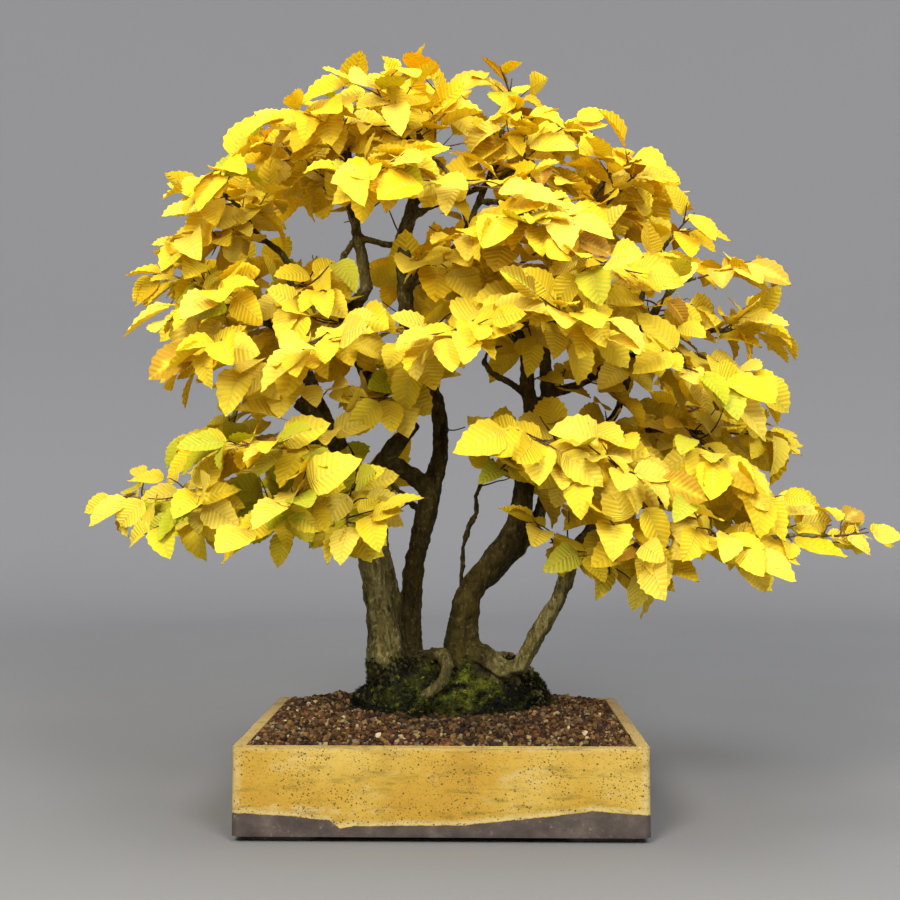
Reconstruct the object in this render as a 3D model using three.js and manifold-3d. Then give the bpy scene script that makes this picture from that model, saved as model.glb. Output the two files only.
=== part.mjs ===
// Hornbeam bonsai in autumn leaf, in a rectangular stoneware pot.
// Millimetres, +Z up, front of the tree towards -Y, the pot standing on z = 0.

import * as THREE from "three";
import { mergeVertices } from "three/addons/utils/BufferGeometryUtils.js";
import Module from "manifold-3d";

const wasm = await Module();
wasm.setup();

// Pot

const POT_LENGTH = 400;
const POT_DEPTH = 300;
const POT_HEIGHT = 90;
const POT_WALL = 12;
const POT_FLOOR = 12;
const POT_CORNER = 8;
const POT_EDGE = 1.6;
const FOOT_HEIGHT = 6;
const FOOT_LENGTH = 72;
const FOOT_DEPTH = 56;
const FOOT_INSET = 9;
const FOOT_SINK = 2;
const DRAIN_RADIUS = 12;
const DRAIN_SPACING = 190;
const DRAIN_SIDES = 10;
const OVERSHOOT = 5;

// Drainage screens

const SCREEN_SIDE = 44;
const SCREEN_THICK = 1.2;
const SCREEN_HOLE = 14;
const SCREEN_PITCH = 18;

// Soil and moss

const SOIL_RIM_DROP = 4;
const SOIL_MOUND = 17;
const SOIL_MOUND_REACH = 95;
const SOIL_RELIEF = 1.3;
const SOIL_CELLS_X = 9;
const SOIL_CELLS_Y = 6;
const MOSS_RADIUS_X = 108;
const MOSS_RADIUS_Y = 56;
const MOSS_TOP = 154;
const MOSS_FORWARD = 4;
const MOSS_LUMP = 0.05;
const MOSS_COLUMNS = 11;
const MOSS_ROWS = 5;

// Root stock

const STOCK_CENTRE = new THREE.Vector3(5, 8, 100);
const STOCK_RADIUS = new THREE.Vector3(92, 44, 68);
const STOCK_LUMP = 0.07;
const STOCK_COLUMNS = 12;
const STOCK_ROWS = 6;

// Leaves and shoots

const LEAF_LENGTH = 47;
const LEAF_WIDTH = 31;
const LEAF_THICK = 1.8;
const TWIG_HALF = 1.5;
const TWIG_TIP_HALF = 0.9;
const JOINT_HALF = 1.4;
const SIDE_TWIG_SHARES = [0.85, 0.7];
const SIDE_TWIG_THINNER = 0.8;
const LEAF_OPENING = 1.05;
const LEAF_DROOP_LEAST = 0.15;
const LEAF_DROOP_RANGE = 0.55;
const LEAF_SMALLEST = 0.86;
const LEAF_SIZE_RANGE = 0.28;
const LEAF_TRIES = 40;
const LEAF_SEED_STEP = 5000;
const SEAT_GAP = 0.3;
const CLEARANCE = 0.5;

const up = new THREE.Vector3(0, 0, 1);
const crownHeart = new THREE.Vector3(0, 40, 420);

// Colours and finishes

function finish(color, roughness) {
  return new THREE.MeshStandardMaterial({ color, roughness, metalness: 0 });
}

const finishes = {
  glaze: finish(0xd9ad45, 0.45),
  screen: finish(0x2c2c2a, 0.6),
  soil: finish(0x6b4f3a, 0.95),
  moss: finish(0x33501a, 1.0),
  bark: finish(0x5b5138, 0.9),
  leaf: finish(0xf2c51e, 0.6),
};

// Seeded random numbers, the same on every run

function randomSource(seed) {
  let state = seed >>> 0;
  return function draw() {
    state = (state + 0x6d2b79f5) >>> 0;
    let mixed = Math.imul(state ^ (state >>> 15), state | 1);
    mixed ^= mixed + Math.imul(mixed ^ (mixed >>> 7), mixed | 61);
    return ((mixed ^ (mixed >>> 14)) >>> 0) / 4294967296;
  };
}

function spread(draw, amount) {
  return (draw() * 2 - 1) * amount;
}

// Closed solids from geometry, and back

function solidFrom(geometry) {
  const bare = geometry.clone();
  bare.deleteAttribute("normal");
  bare.deleteAttribute("uv");
  const merged = mergeVertices(bare, 1e-4);
  const vertProperties = new Float32Array(merged.attributes.position.array);
  const triVerts = new Uint32Array(merged.index.array);
  return new wasm.Manifold(new wasm.Mesh({ numProp: 3, vertProperties, triVerts }));
}

function meshFrom(solid, name, material) {
  const { vertProperties, triVerts } = solid.getMesh();
  const geometry = new THREE.BufferGeometry();
  geometry.setAttribute("position", new THREE.BufferAttribute(vertProperties, 3));
  geometry.setIndex(new THREE.BufferAttribute(triVerts, 1));
  geometry.computeVertexNormals();
  const mesh = new THREE.Mesh(geometry, material);
  mesh.name = name;
  return mesh;
}

function joined(solids) {
  return solids.reduce((whole, solid) => whole.add(solid));
}

function largestBody(solid) {
  const bodies = solid.decompose();
  return bodies.reduce((best, body) => (body.volume() > best.volume() ? body : best));
}

function triangles(points, faces) {
  const geometry = new THREE.BufferGeometry();
  geometry.setAttribute("position", new THREE.Float32BufferAttribute(points, 3));
  geometry.setIndex(faces);
  return geometry;
}

// Limbs: a tapered tube along a hand-laid route, with flat ends

function tube(route, radii, sides) {
  const points = [];
  const faces = [];
  let across = null;
  const last = route.length - 1;
  route.forEach((place, i) => {
    const before = route[Math.max(i - 1, 0)];
    const after = route[Math.min(i + 1, last)];
    const heading = after.clone().sub(before).normalize();
    if (!across) {
      across = new THREE.Vector3(0, -1, 0.2).cross(heading);
    }
    across.addScaledVector(heading, -across.dot(heading)).normalize();
    const aside = heading.clone().cross(across);
    const radius = radii[i];
    for (let k = 0; k < sides; k += 1) {
      const turn = (2 * Math.PI * k) / sides;
      const rim = place.clone();
      rim.addScaledVector(across, radius * Math.cos(turn));
      rim.addScaledVector(aside, radius * Math.sin(turn));
      points.push(rim.x, rim.y, rim.z);
    }
  });
  for (let i = 0; i < last; i += 1) {
    for (let k = 0; k < sides; k += 1) {
      const next = (k + 1) % sides;
      const a = i * sides + k;
      const b = i * sides + next;
      faces.push(a, b, a + sides);
      faces.push(b, b + sides, a + sides);
    }
  }
  for (let k = 1; k < sides - 1; k += 1) {
    faces.push(0, k + 1, k);
    faces.push(last * sides, last * sides + k, last * sides + k + 1);
  }
  return solidFrom(triangles(points, faces));
}

function routeOf(list) {
  return list.map(([x, y, z]) => new THREE.Vector3(x, y, z));
}

// The skeleton. Each limb has its route and the number of its sides. It tapers evenly from its radius at
// the foot to the one at the far end, or its girth gives the radius at each place of the route. A limb that
// carries a leafy shoot at its far end says how far the shoot reaches.

const trunks = {
  left: {
    route: [[-52, 0, 100], [-60, -3, 150], [-66, -4, 186], [-72, -6, 222], [-80, -12, 262],
      [-87, -18, 305], [-97, -25, 342], [-106, -35, 375], [-120, -45, 400]],
    girth: [27, 23, 18, 14, 12.5, 12.5, 12, 11, 9.5], sides: 7,
  },
  leftBack: {
    route: [[-42, 24, 100], [-46, 26, 155], [-55, 27, 215], [-68, 25, 265], [-73, 19, 312],
      [-72, 4, 360], [-55, -5, 381], [-36, -9, 404], [-60, -5, 422], [-78, 4, 446], [-92, 14, 480],
      [-105, 20, 516], [-100, 21, 541], [-86, 20, 562], [-92, 20, 598], [-105, 20, 652], [-103, 10, 690],
      [-107, 2, 722]],
    girth: [12, 10.5, 9.5, 9.5, 10, 10.5, 11.5, 11.5, 10.5, 9.5, 9.5, 9.5, 9.5, 8, 7, 5.5, 4.2, 3.2],
    sides: 5, reach: 56,
  },
  middle: {
    route: [[-34, 18, 100], [-38, 20, 160], [-38, 20, 206], [-32, 20, 260], [-20, 20, 312], [-14, 20, 340],
      [-5, 24, 375], [-4, 29, 410], [-11, 30, 440], [-29, 25, 470], [-40, 20, 502], [-44, 20, 556],
      [-46, 16, 612], [-36, 12, 650], [-22, 5, 698], [-28, 0, 732], [-43, -4, 758]],
    girth: [16, 14, 12, 11.5, 12.5, 12, 9.5, 9, 9, 9, 9, 9.5, 9.5, 7, 5.5, 4.4, 3.4],
    sides: 6, reach: 48, redraw: 44,
  },
  right: {
    route: [[20, 4, 100], [19, 0, 158], [21, 0, 196], [26, 0, 222], [38, 2, 241], [55, 5, 262],
      [71, 6, 283], [82, 8, 305], [87, 9, 341], [93, 10, 386], [99, 10, 415]],
    girth: [26, 22, 17, 15, 15, 14.5, 14, 13, 12, 12.5, 13.5], sides: 7,
  },
  rightFork: {
    route: [[48, 8, 234], [62, 19, 250], [83, 26, 275], [104, 30, 310], [117, 30, 348], [135, 30, 376],
      [172, 34, 398], [229, 35, 405], [271, 30, 401], [306, 20, 400]],
    from: 11, to: 3.4, reach: 62, redraw: 3,
  },
  kneeling: {
    route: [[30, -6, 165], [46, -16, 158], [64, -28, 147], [81, -33, 152], [95, -30, 179], [122, -22, 222],
      [132, -20, 250], [141, -20, 275], [156, -16, 296], [172, -16, 311], [199, -20, 319],
      [236, -30, 326], [292, -44, 326]],
    from: 13, to: 3.4, sides: 5, reach: 66,
  },
  thinShoot: {
    route: [[20, 10, 205], [19, 17, 235], [20, 20, 274], [27, 24, 299], [36, 26, 312], [34, 26, 330],
      [40, 18, 344], [54, 4, 354]],
    from: 4.6, to: 2.4, reach: 44, redraw: 9,
  },
};

const leftLimbs = {
  lowLeft: {
    route: [[-84, -16, 292], [-115, -38, 294], [-150, -58, 310], [-186, -68, 323], [-226, -64, 327],
      [-280, -58, 330]],
    from: 9, to: 3.2, reach: 70,
  },
  lowLeftRise: {
    route: [[-182, -66, 322], [-202, -60, 346], [-216, -42, 370]],
    from: 4, to: 2.8, reach: 58,
  },
  lowLeftFront: {
    route: [[-222, -62, 326], [-229, -84, 324], [-238, -106, 318]],
    from: 4, to: 2.8, reach: 62,
  },
  lowLeftInner: {
    route: [[-150, -58, 310], [-151, -88, 314], [-150, -118, 314]],
    from: 4, to: 2.8, reach: 60, redraw: 1,
  },
  lowLeftBack: {
    route: [[-86, -16, 300], [-106, 60, 326], [-136, 128, 345]],
    from: 6, to: 2.8, reach: 70, redraw: 2,
  },
  longLeft: {
    route: [[-112, -40, 386], [-133, -42, 430], [-146, -22, 460], [-156, 0, 490], [-169, 10, 521],
      [-171, 15, 555], [-169, 15, 581], [-181, 16, 600], [-208, 20, 620], [-240, 30, 642]],
    from: 9, to: 3, reach: 58, redraw: 5,
  },
  cutStub: {
    route: [[-112, -40, 388], [-132, -52, 412], [-152, -60, 428]],
    from: 9, to: 7.5, sides: 5,
  },
  longLeftLow: {
    route: [[-155, 0, 488], [-200, 9, 525], [-234, 10, 545], [-266, 10, 562]],
    from: 5.5, to: 2.8, reach: 66,
  },
  longLeftFront: {
    route: [[-232, 10, 544], [-229, -40, 535], [-234, -80, 525]],
    from: 4, to: 2.8, reach: 58, redraw: 1,
  },
  longLeftBack: {
    route: [[-168, 9, 518], [-206, 80, 536], [-240, 138, 570]],
    from: 4.5, to: 2.8, reach: 66,
  },
  midLeft: {
    route: [[-130, -44, 424], [-157, -80, 448], [-186, -106, 460]],
    from: 5, to: 2.8, reach: 66, redraw: 3,
  },
  midLeftLow: {
    route: [[-112, -42, 384], [-134, -88, 386], [-156, -124, 380]],
    from: 5, to: 2.8, reach: 64,
  },
  graftLoop: {
    route: [[-104, 20, 510], [-119, 2, 536], [-120, -4, 562], [-110, 6, 594], [-99, 18, 616]],
    from: 4.5, to: 4,
  },
  topLeft: {
    route: [[-104, 20, 652], [-140, 30, 694], [-178, 40, 720]],
    from: 4.5, to: 2.8, reach: 58, redraw: 5,
  },
  topLeftFront: {
    route: [[-104, 8, 696], [-116, -30, 711], [-132, -60, 716]],
    from: 4, to: 2.8, reach: 58,
  },
  topLeftBack: {
    route: [[-105, 20, 654], [-131, 90, 686], [-160, 148, 712]],
    from: 4.5, to: 2.8, reach: 64,
  },
  innerFront: {
    route: [[-103, 18, 512], [-108, -60, 510], [-112, -116, 492]],
    from: 5, to: 2.8, reach: 62,
  },
  highFront: {
    route: [[-100, 20, 622], [-86, -60, 636], [-66, -122, 646]],
    from: 4.5, to: 2.8, reach: 60,
  },
};

const middleLimbs = {
  middleToLeft: {
    route: [[-15, 20, 336], [-31, 17, 350], [-51, 11, 363], [-70, 8, 364]],
    from: 11.5, to: 10, sides: 5,
  },
  bridge: {
    route: [[-44, 18, 606], [-71, 20, 610], [-99, 20, 620]],
    from: 4.5, to: 4,
  },
  middleRight: {
    route: [[-41, 14, 636], [-14, 11, 650], [16, 6, 660], [50, 0, 671], [84, 0, 690], [104, 0, 711]],
    from: 5.5, to: 2.8, reach: 54,
  },
  middleTopBack: {
    route: [[-23, 6, 696], [-15, 80, 730], [-8, 140, 752]],
    from: 4.5, to: 2.8, reach: 62, redraw: 1,
  },
  middleHighFront: {
    route: [[-22, 5, 698], [-5, -70, 676], [10, -124, 646]],
    from: 4.5, to: 2.8, reach: 60,
  },
  middleFront: {
    route: [[-40, 20, 500], [-15, -70, 496], [8, -142, 488]],
    from: 5, to: 2.8, reach: 62, redraw: 1,
  },
  middleBack: {
    route: [[-43, 20, 556], [-30, 100, 586], [-18, 168, 610]],
    from: 5, to: 2.8, reach: 66, redraw: 2,
  },
  middleLowBack: {
    route: [[-21, 20, 308], [-48, 90, 330], [-72, 158, 350]],
    from: 5, to: 2.8, reach: 68, redraw: 3,
  },
};

const rightLimbs = {
  rightUp: {
    route: [[97, 10, 410], [91, 9, 449], [90, 6, 485], [76, 6, 515], [50, 9, 539], [22, 14, 556],
      [16, 15, 590], [21, 15, 614], [29, 15, 636], [40, 16, 661], [56, 20, 700], [66, 16, 744]],
    from: 9.5, to: 3, reach: 48, redraw: 7,
  },
  rightUpFront: {
    route: [[76, 6, 513], [100, -80, 510], [112, -144, 500]],
    from: 4.5, to: 2.8, reach: 60, redraw: 1,
  },
  rightHighFront: {
    route: [[38, 16, 656], [68, -60, 636], [86, -124, 612]],
    from: 4.5, to: 2.8, reach: 60,
  },
  curl: {
    route: [[92, 10, 438], [72, 2, 453], [51, -4, 463], [43, -10, 475], [48, -26, 486], [62, -50, 487]],
    from: 5, to: 2.4,
  },
  rightMain: {
    route: [[98, 10, 410], [113, 11, 440], [111, 12, 466], [110, 15, 496], [125, 19, 535], [140, 20, 575],
      [150, 20, 616], [158, 20, 648], [173, 14, 674], [192, 8, 694]],
    from: 9.5, to: 3, reach: 52, redraw: 3,
  },
  rightMainFront: {
    route: [[140, 20, 574], [150, -70, 566], [157, -138, 556]],
    from: 4.5, to: 2.8, reach: 60, redraw: 3,
  },
  rightMainBack: {
    route: [[111, 15, 494], [136, 100, 526], [161, 168, 550]],
    from: 5, to: 2.8, reach: 66, redraw: 1,
  },
  rightMainBackHigh: {
    route: [[158, 20, 646], [181, 90, 680], [208, 148, 702]],
    from: 4.5, to: 2.8, reach: 62, redraw: 1,
  },
  sweep: {
    route: [[112, 12, 442], [135, 6, 447], [161, 0, 459], [186, -10, 480], [209, -20, 506], [221, -28, 524],
      [236, -31, 541], [250, -35, 556], [268, -38, 560]],
    from: 6.5, to: 3, reach: 42, redraw: 2,
  },
  farRight: {
    route: [[168, 33, 396], [190, 30, 421], [201, 25, 454], [201, 20, 490], [209, 15, 520], [219, 5, 558],
      [230, 0, 588], [248, -6, 612]],
    from: 5.5, to: 2.8, reach: 50, redraw: 1,
  },
  farRightOut: {
    route: [[201, 20, 488], [230, 2, 500], [256, -10, 504], [290, -14, 507], [322, -18, 508]],
    from: 4.5, to: 2.8, reach: 52, redraw: 6,
  },
  rightPadFront: {
    route: [[134, 30, 376], [124, -50, 380], [108, -118, 380]],
    from: 4.5, to: 2.8, reach: 60,
  },
  rightPadFrontOut: {
    route: [[172, 34, 398], [170, -50, 382], [166, -118, 368]],
    from: 4.5, to: 2.8, reach: 60, redraw: 1,
  },
  rightPadOut: {
    route: [[269, 30, 401], [275, -30, 386], [277, -76, 371]],
    from: 3.6, to: 2.8, reach: 58, redraw: 1,
  },
  rightPadBack: {
    route: [[228, 35, 405], [264, 108, 420], [296, 166, 434]],
    from: 4.5, to: 2.8, reach: 64, redraw: 1,
  },
  lowRight: {
    route: [[138, -20, 270], [164, -38, 281], [204, -60, 277], [241, -75, 276], [302, -88, 286],
      [350, -94, 291], [392, -92, 290]],
    from: 5, to: 2.8, reach: 54, redraw: 1,
  },
  lowRightFront: {
    route: [[240, -75, 276], [248, -104, 284], [256, -134, 288]],
    from: 3.4, to: 2.8, reach: 54, redraw: 1,
  },
  lowRightInner: {
    route: [[186, -50, 279], [188, -86, 286], [186, -118, 286]],
    from: 3.4, to: 2.8, reach: 54, redraw: 1,
  },
  lowRightBack: {
    route: [[198, -20, 319], [236, 60, 336], [274, 128, 350]],
    from: 4.5, to: 2.8, reach: 66, redraw: 1,
  },
};

const frontLimbs = {
  middleTopFront: {
    route: [[-26, 6, 694], [-40, -42, 716], [-58, -84, 730]],
    from: 4.5, to: 2.8, reach: 56, redraw: 3,
  },
  middleMidFront: {
    route: [[-44, 20, 558], [-22, -46, 570], [4, -98, 576]],
    from: 4.5, to: 2.8, reach: 58,
  },
  longLeftTopFront: {
    route: [[-206, 20, 618], [-219, -30, 640], [-236, -72, 650]],
    from: 3.8, to: 2.8, reach: 56, redraw: 3,
  },
  leftTrunkFront: {
    route: [[-96, -25, 338], [-98, -60, 332], [-96, -92, 322]],
    from: 5, to: 2.8, reach: 50, redraw: 2,
  },
  farRightLow: {
    route: [[201, 20, 486], [220, -38, 474], [236, -86, 462]],
    from: 4, to: 2.8, reach: 58, redraw: 1,
  },
};

const roots = {
  arched: {
    route: [[-14, -10, 160], [0, -28, 164], [5, -40, 152], [0, -47, 138], [-18, -52, 122], [-36, -56, 98]],
    girth: [9, 8, 7.5, 7, 6.5, 5], sides: 5,
  },
  front: {
    route: [[6, -14, 138], [14, -32, 120], [22, -42, 104], [28, -48, 84]],
    from: 14, to: 6,
  },
  left: {
    route: [[-60, 2, 122], [-80, -2, 110], [-98, -6, 96], [-112, -8, 78]],
    from: 15, to: 5,
  },
  right: {
    route: [[40, 18, 148], [68, 20, 144], [92, 16, 124], [108, 12, 102], [118, 10, 78]],
    girth: [17, 17, 15, 11, 6], sides: 5,
  },
  backLeft: {
    route: [[-34, 34, 126], [-52, 60, 110], [-70, 84, 84]],
    from: 13, to: 5,
  },
  backRight: {
    route: [[38, 34, 128], [54, 60, 110], [70, 82, 84]],
    from: 13, to: 5,
  },
};

function radiiOf(limb) {
  const last = limb.route.length - 1;
  return limb.girth ?? limb.route.map((_, i) => limb.from + ((limb.to - limb.from) * i) / last);
}

function limbSolid(limb, extra = 0, stretch = 0) {
  const route = routeOf(limb.route);
  const end = route.length - 1;
  const heading = route[end].clone().sub(route[end - 1]).normalize();
  route[end].addScaledVector(heading, stretch);
  const radii = radiiOf(limb).map((radius) => radius + extra);
  return tube(route, radii, limb.sides ?? 4);
}

// Pot: walls, floor, four corner feet and two drainage holes

function roundedPlate(length, depth, corner) {
  const x = length / 2 - corner;
  const y = depth / 2 - corner;
  const shape = new THREE.Shape();
  shape.absarc(x, y, corner, 0, Math.PI / 2);
  shape.absarc(-x, y, corner, Math.PI / 2, Math.PI);
  shape.absarc(-x, -y, corner, Math.PI, 1.5 * Math.PI);
  shape.absarc(x, -y, corner, 1.5 * Math.PI, 2 * Math.PI);
  shape.closePath();
  return shape;
}

function block(shape, bottom, top, edge = 0) {
  const geometry = new THREE.ExtrudeGeometry(shape, {
    depth: top - bottom - 2 * edge,
    curveSegments: 2,
    bevelEnabled: edge > 0,
    bevelSize: edge,
    bevelThickness: edge,
    bevelOffset: -edge,
    bevelSegments: 1,
  });
  geometry.translate(0, 0, bottom + edge);
  return solidFrom(geometry);
}

function footSolid(sideX, sideY) {
  const x = sideX * (POT_LENGTH / 2 - FOOT_INSET - FOOT_LENGTH / 2);
  const y = sideY * (POT_DEPTH / 2 - FOOT_INSET - FOOT_DEPTH / 2);
  const geometry = new THREE.BoxGeometry(FOOT_LENGTH, FOOT_DEPTH, FOOT_HEIGHT + FOOT_SINK);
  geometry.translate(x, y, (FOOT_HEIGHT + FOOT_SINK) / 2);
  return solidFrom(geometry);
}

function drainHole(x) {
  const geometry = new THREE.CylinderGeometry(DRAIN_RADIUS, DRAIN_RADIUS, 4 * POT_FLOOR, DRAIN_SIDES);
  geometry.rotateX(Math.PI / 2);
  geometry.translate(x, 0, POT_FLOOR);
  return solidFrom(geometry);
}

const cavityFloor = FOOT_HEIGHT + POT_FLOOR;

function cavity(shrink, bottom, top) {
  const length = POT_LENGTH - 2 * POT_WALL - 2 * shrink;
  const depth = POT_DEPTH - 2 * POT_WALL - 2 * shrink;
  return block(roundedPlate(length, depth, POT_CORNER / 2), bottom, top);
}

function potSolid() {
  const body = block(roundedPlate(POT_LENGTH, POT_DEPTH, POT_CORNER), FOOT_HEIGHT, POT_HEIGHT, POT_EDGE);
  const feet = [-1, 1].flatMap((sideX) => [-1, 1].map((sideY) => footSolid(sideX, sideY)));
  const hollow = cavity(0, cavityFloor, POT_HEIGHT + OVERSHOOT);
  const drains = [-1, 1].map((side) => drainHole((side * DRAIN_SPACING) / 2));
  return joined([body, ...feet]).subtract(joined([hollow, ...drains]));
}

// A drainage screen: a thin plate with a grid of square holes, lying over its drain

function screenSolid(x) {
  const plate = new THREE.BoxGeometry(SCREEN_SIDE, SCREEN_SIDE, SCREEN_THICK);
  const openings = [];
  for (const row of [-0.5, 0.5]) {
    for (const column of [-0.5, 0.5]) {
      const hole = new THREE.BoxGeometry(SCREEN_HOLE, SCREEN_HOLE, SCREEN_THICK + OVERSHOOT);
      hole.translate(column * SCREEN_PITCH, row * SCREEN_PITCH, 0);
      openings.push(solidFrom(hole));
    }
  }
  const middle = cavityFloor + SEAT_GAP + SCREEN_THICK / 2;
  return solidFrom(plate).subtract(joined(openings)).translate([x, 0, middle]);
}

// Soil: level at the walls, mounded up to the roots, with an uneven top

function soilHeight(x, y) {
  const base = POT_HEIGHT - SOIL_RIM_DROP;
  const away = Math.hypot(x - STOCK_CENTRE.x, 1.2 * (y - STOCK_CENTRE.y)) / SOIL_MOUND_REACH;
  const relief = Math.sin(x * 0.21 + Math.cos(y * 0.17) * 2) * Math.cos(y * 0.19 + x * 0.05);
  return base + SOIL_MOUND * Math.exp(-away * away) + SOIL_RELIEF * relief;
}

function soilBlock(raise) {
  const points = [];
  const faces = [];
  const across = SOIL_CELLS_X + 1;
  const count = across * (SOIL_CELLS_Y + 1);
  for (const layer of [0, 1]) {
    for (let j = 0; j <= SOIL_CELLS_Y; j += 1) {
      for (let i = 0; i <= SOIL_CELLS_X; i += 1) {
        const x = (i / SOIL_CELLS_X - 0.5) * POT_LENGTH;
        const y = (j / SOIL_CELLS_Y - 0.5) * POT_DEPTH;
        points.push(x, y, layer ? soilHeight(x, y) + raise : 0);
      }
    }
  }
  const quad = (a, b, c, d) => faces.push(a, b, c, a, c, d);
  for (let j = 0; j < SOIL_CELLS_Y; j += 1) {
    for (let i = 0; i < SOIL_CELLS_X; i += 1) {
      const a = j * across + i;
      quad(a, a + across, a + across + 1, a + 1);
      quad(count + a, count + a + 1, count + a + across + 1, count + a + across);
    }
  }
  for (let i = 0; i < SOIL_CELLS_X; i += 1) {
    const far = SOIL_CELLS_Y * across + i;
    quad(i, i + 1, count + i + 1, count + i);
    quad(far + 1, far, count + far, count + far + 1);
  }
  for (let j = 0; j < SOIL_CELLS_Y; j += 1) {
    const near = j * across;
    const far = near + SOIL_CELLS_X;
    quad(near + across, near, count + near, count + near + across);
    quad(far, far + across, count + far + across, count + far);
  }
  return solidFrom(triangles(points, faces));
}

// Root stock: a lumpy dome that the trunks grow from, with roots that arch over it into the soil

function lumpyDome(centre, radius, columns, rows, lump) {
  const geometry = new THREE.SphereGeometry(1, columns, rows);
  geometry.rotateX(Math.PI / 2);
  const position = geometry.attributes.position;
  for (let i = 0; i < position.count; i += 1) {
    const x = position.getX(i);
    const y = position.getY(i);
    const z = position.getZ(i);
    const swell = 1 + lump * Math.sin(5 * x + 2 * z) * Math.cos(4 * y - 3 * z);
    position.setXYZ(i, x * radius.x * swell, y * radius.y * swell, z * radius.z * swell);
  }
  geometry.translate(centre.x, centre.y, centre.z);
  return solidFrom(geometry);
}

function rootStock(extra) {
  const radius = STOCK_RADIUS.clone().addScalar(extra);
  const stock = lumpyDome(STOCK_CENTRE, radius, STOCK_COLUMNS, STOCK_ROWS, STOCK_LUMP);
  const arms = Object.values(roots).map((root) => limbSolid(root, extra, extra));
  return joined([stock, ...arms]);
}

// The plain hole that the root stock and the feet of the trunks stand in

function stockHole() {
  const gap = 2 * SEAT_GAP;
  const { left, leftBack, middle, right, kneeling } = trunks;
  const feet = [left, leftBack, middle, right, kneeling].map((limb) => limbSolid(limb, gap));
  return joined([rootStock(gap), ...feet]);
}

function mossSolid(hole) {
  const centre = new THREE.Vector3(STOCK_CENTRE.x, STOCK_CENTRE.y - MOSS_FORWARD, STOCK_CENTRE.z);
  const radius = new THREE.Vector3(MOSS_RADIUS_X, MOSS_RADIUS_Y, MOSS_TOP - centre.z);
  const cushion = lumpyDome(centre, radius, MOSS_COLUMNS, MOSS_ROWS, MOSS_LUMP);
  return largestBody(cushion.subtract(soilBlock(SEAT_GAP)).subtract(hole));
}

// A leafy shoot is one skin. Its twigs are four-sided stems, drawn out ring by ring, and a side twig or a
// leaf grows straight out of a side of its stem. A ring runs top left, bottom left, bottom right, top right.

class Skin {
  constructor() {
    this.points = [];
    this.faces = [];
  }

  point(place) {
    this.points.push(place.x, place.y, place.z);
    return this.points.length / 3 - 1;
  }

  quad(a, b, c, d) {
    this.faces.push(a, b, c, a, c, d);
  }

  solid() {
    return solidFrom(triangles(this.points, this.faces));
  }
}

function offset(place, ...moves) {
  const moved = place.clone();
  for (const [direction, amount] of moves) {
    moved.addScaledVector(direction, amount);
  }
  return moved;
}

function ringAt(skin, place, heading, face, radius) {
  const left = face.clone().cross(heading).normalize();
  return [[1, 1], [1, -1], [-1, -1], [-1, 1]].map(([aside, above]) => {
    const corner = offset(place, [left, aside * radius], [face, above * radius]);
    return skin.point(corner);
  });
}

function upright(face, heading) {
  return offset(face, [heading, -face.dot(heading)]).normalize();
}

function capFoot(skin, ring) {
  skin.quad(ring[0], ring[1], ring[2], ring[3]);
}

// A twig: its route, and the two rings at each joint, from which leaves and side twigs grow

function growTwig(skin, route, face, fromRadius, toRadius, startRing) {
  const last = route.length - 1;
  const headings = route.slice(1).map((place, i) => place.clone().sub(route[i]).normalize());
  const rings = [];
  const radius = (i) => fromRadius + ((toRadius - fromRadius) * i) / last;
  rings.push(startRing ?? ringAt(skin, route[0], headings[0], upright(face, headings[0]), radius(0)));
  const joints = [];
  for (let i = 1; i < last; i += 1) {
    const middle = headings[i - 1].clone().add(headings[i]).normalize();
    const top = upright(face, middle);
    const near = ringAt(skin, offset(route[i], [middle, -JOINT_HALF]), middle, top, radius(i));
    const far = ringAt(skin, offset(route[i], [middle, JOINT_HALF]), middle, top, radius(i));
    joints.push({ at: rings.length, heading: middle, face: top, place: route[i] });
    rings.push(near, far);
  }
  const end = headings[last - 1];
  rings.push(ringAt(skin, route[last], end, upright(face, end), radius(last)));
  return { rings, joints, end: { heading: end, face: upright(face, end), place: route[last] } };
}

function sideRing(twig, joint, hand) {
  const near = twig.rings[joint.at];
  const far = twig.rings[joint.at + 1];
  return hand > 0 ? [near[0], near[1], far[1], far[0]] : [far[3], far[2], near[2], near[3]];
}

function closeTwig(skin, twig, openSides) {
  for (let i = 0; i + 1 < twig.rings.length; i += 1) {
    const near = twig.rings[i];
    const far = twig.rings[i + 1];
    for (let k = 0; k < 4; k += 1) {
      if (openSides.has(`${i} ${k}`)) {
        continue;
      }
      const next = (k + 1) % 4;
      skin.quad(near[k], far[k], far[next], near[next]);
    }
  }
}

// A leaf: an arched, pointed blade with saw teeth, thick at the midrib and sharp at its edge. Each side of
// its outline is given as distance along the blade and half width, both as shares.

const leftOutline = [[0.24, 0.62], [0.46, 1], [0.5, 0.8], [0.77, 0.55]];
const rightOutline = [[0.22, 0.6], [0.42, 1], [0.66, 0.8]];
const MIDRIB_SPOT = 0.47;

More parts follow.
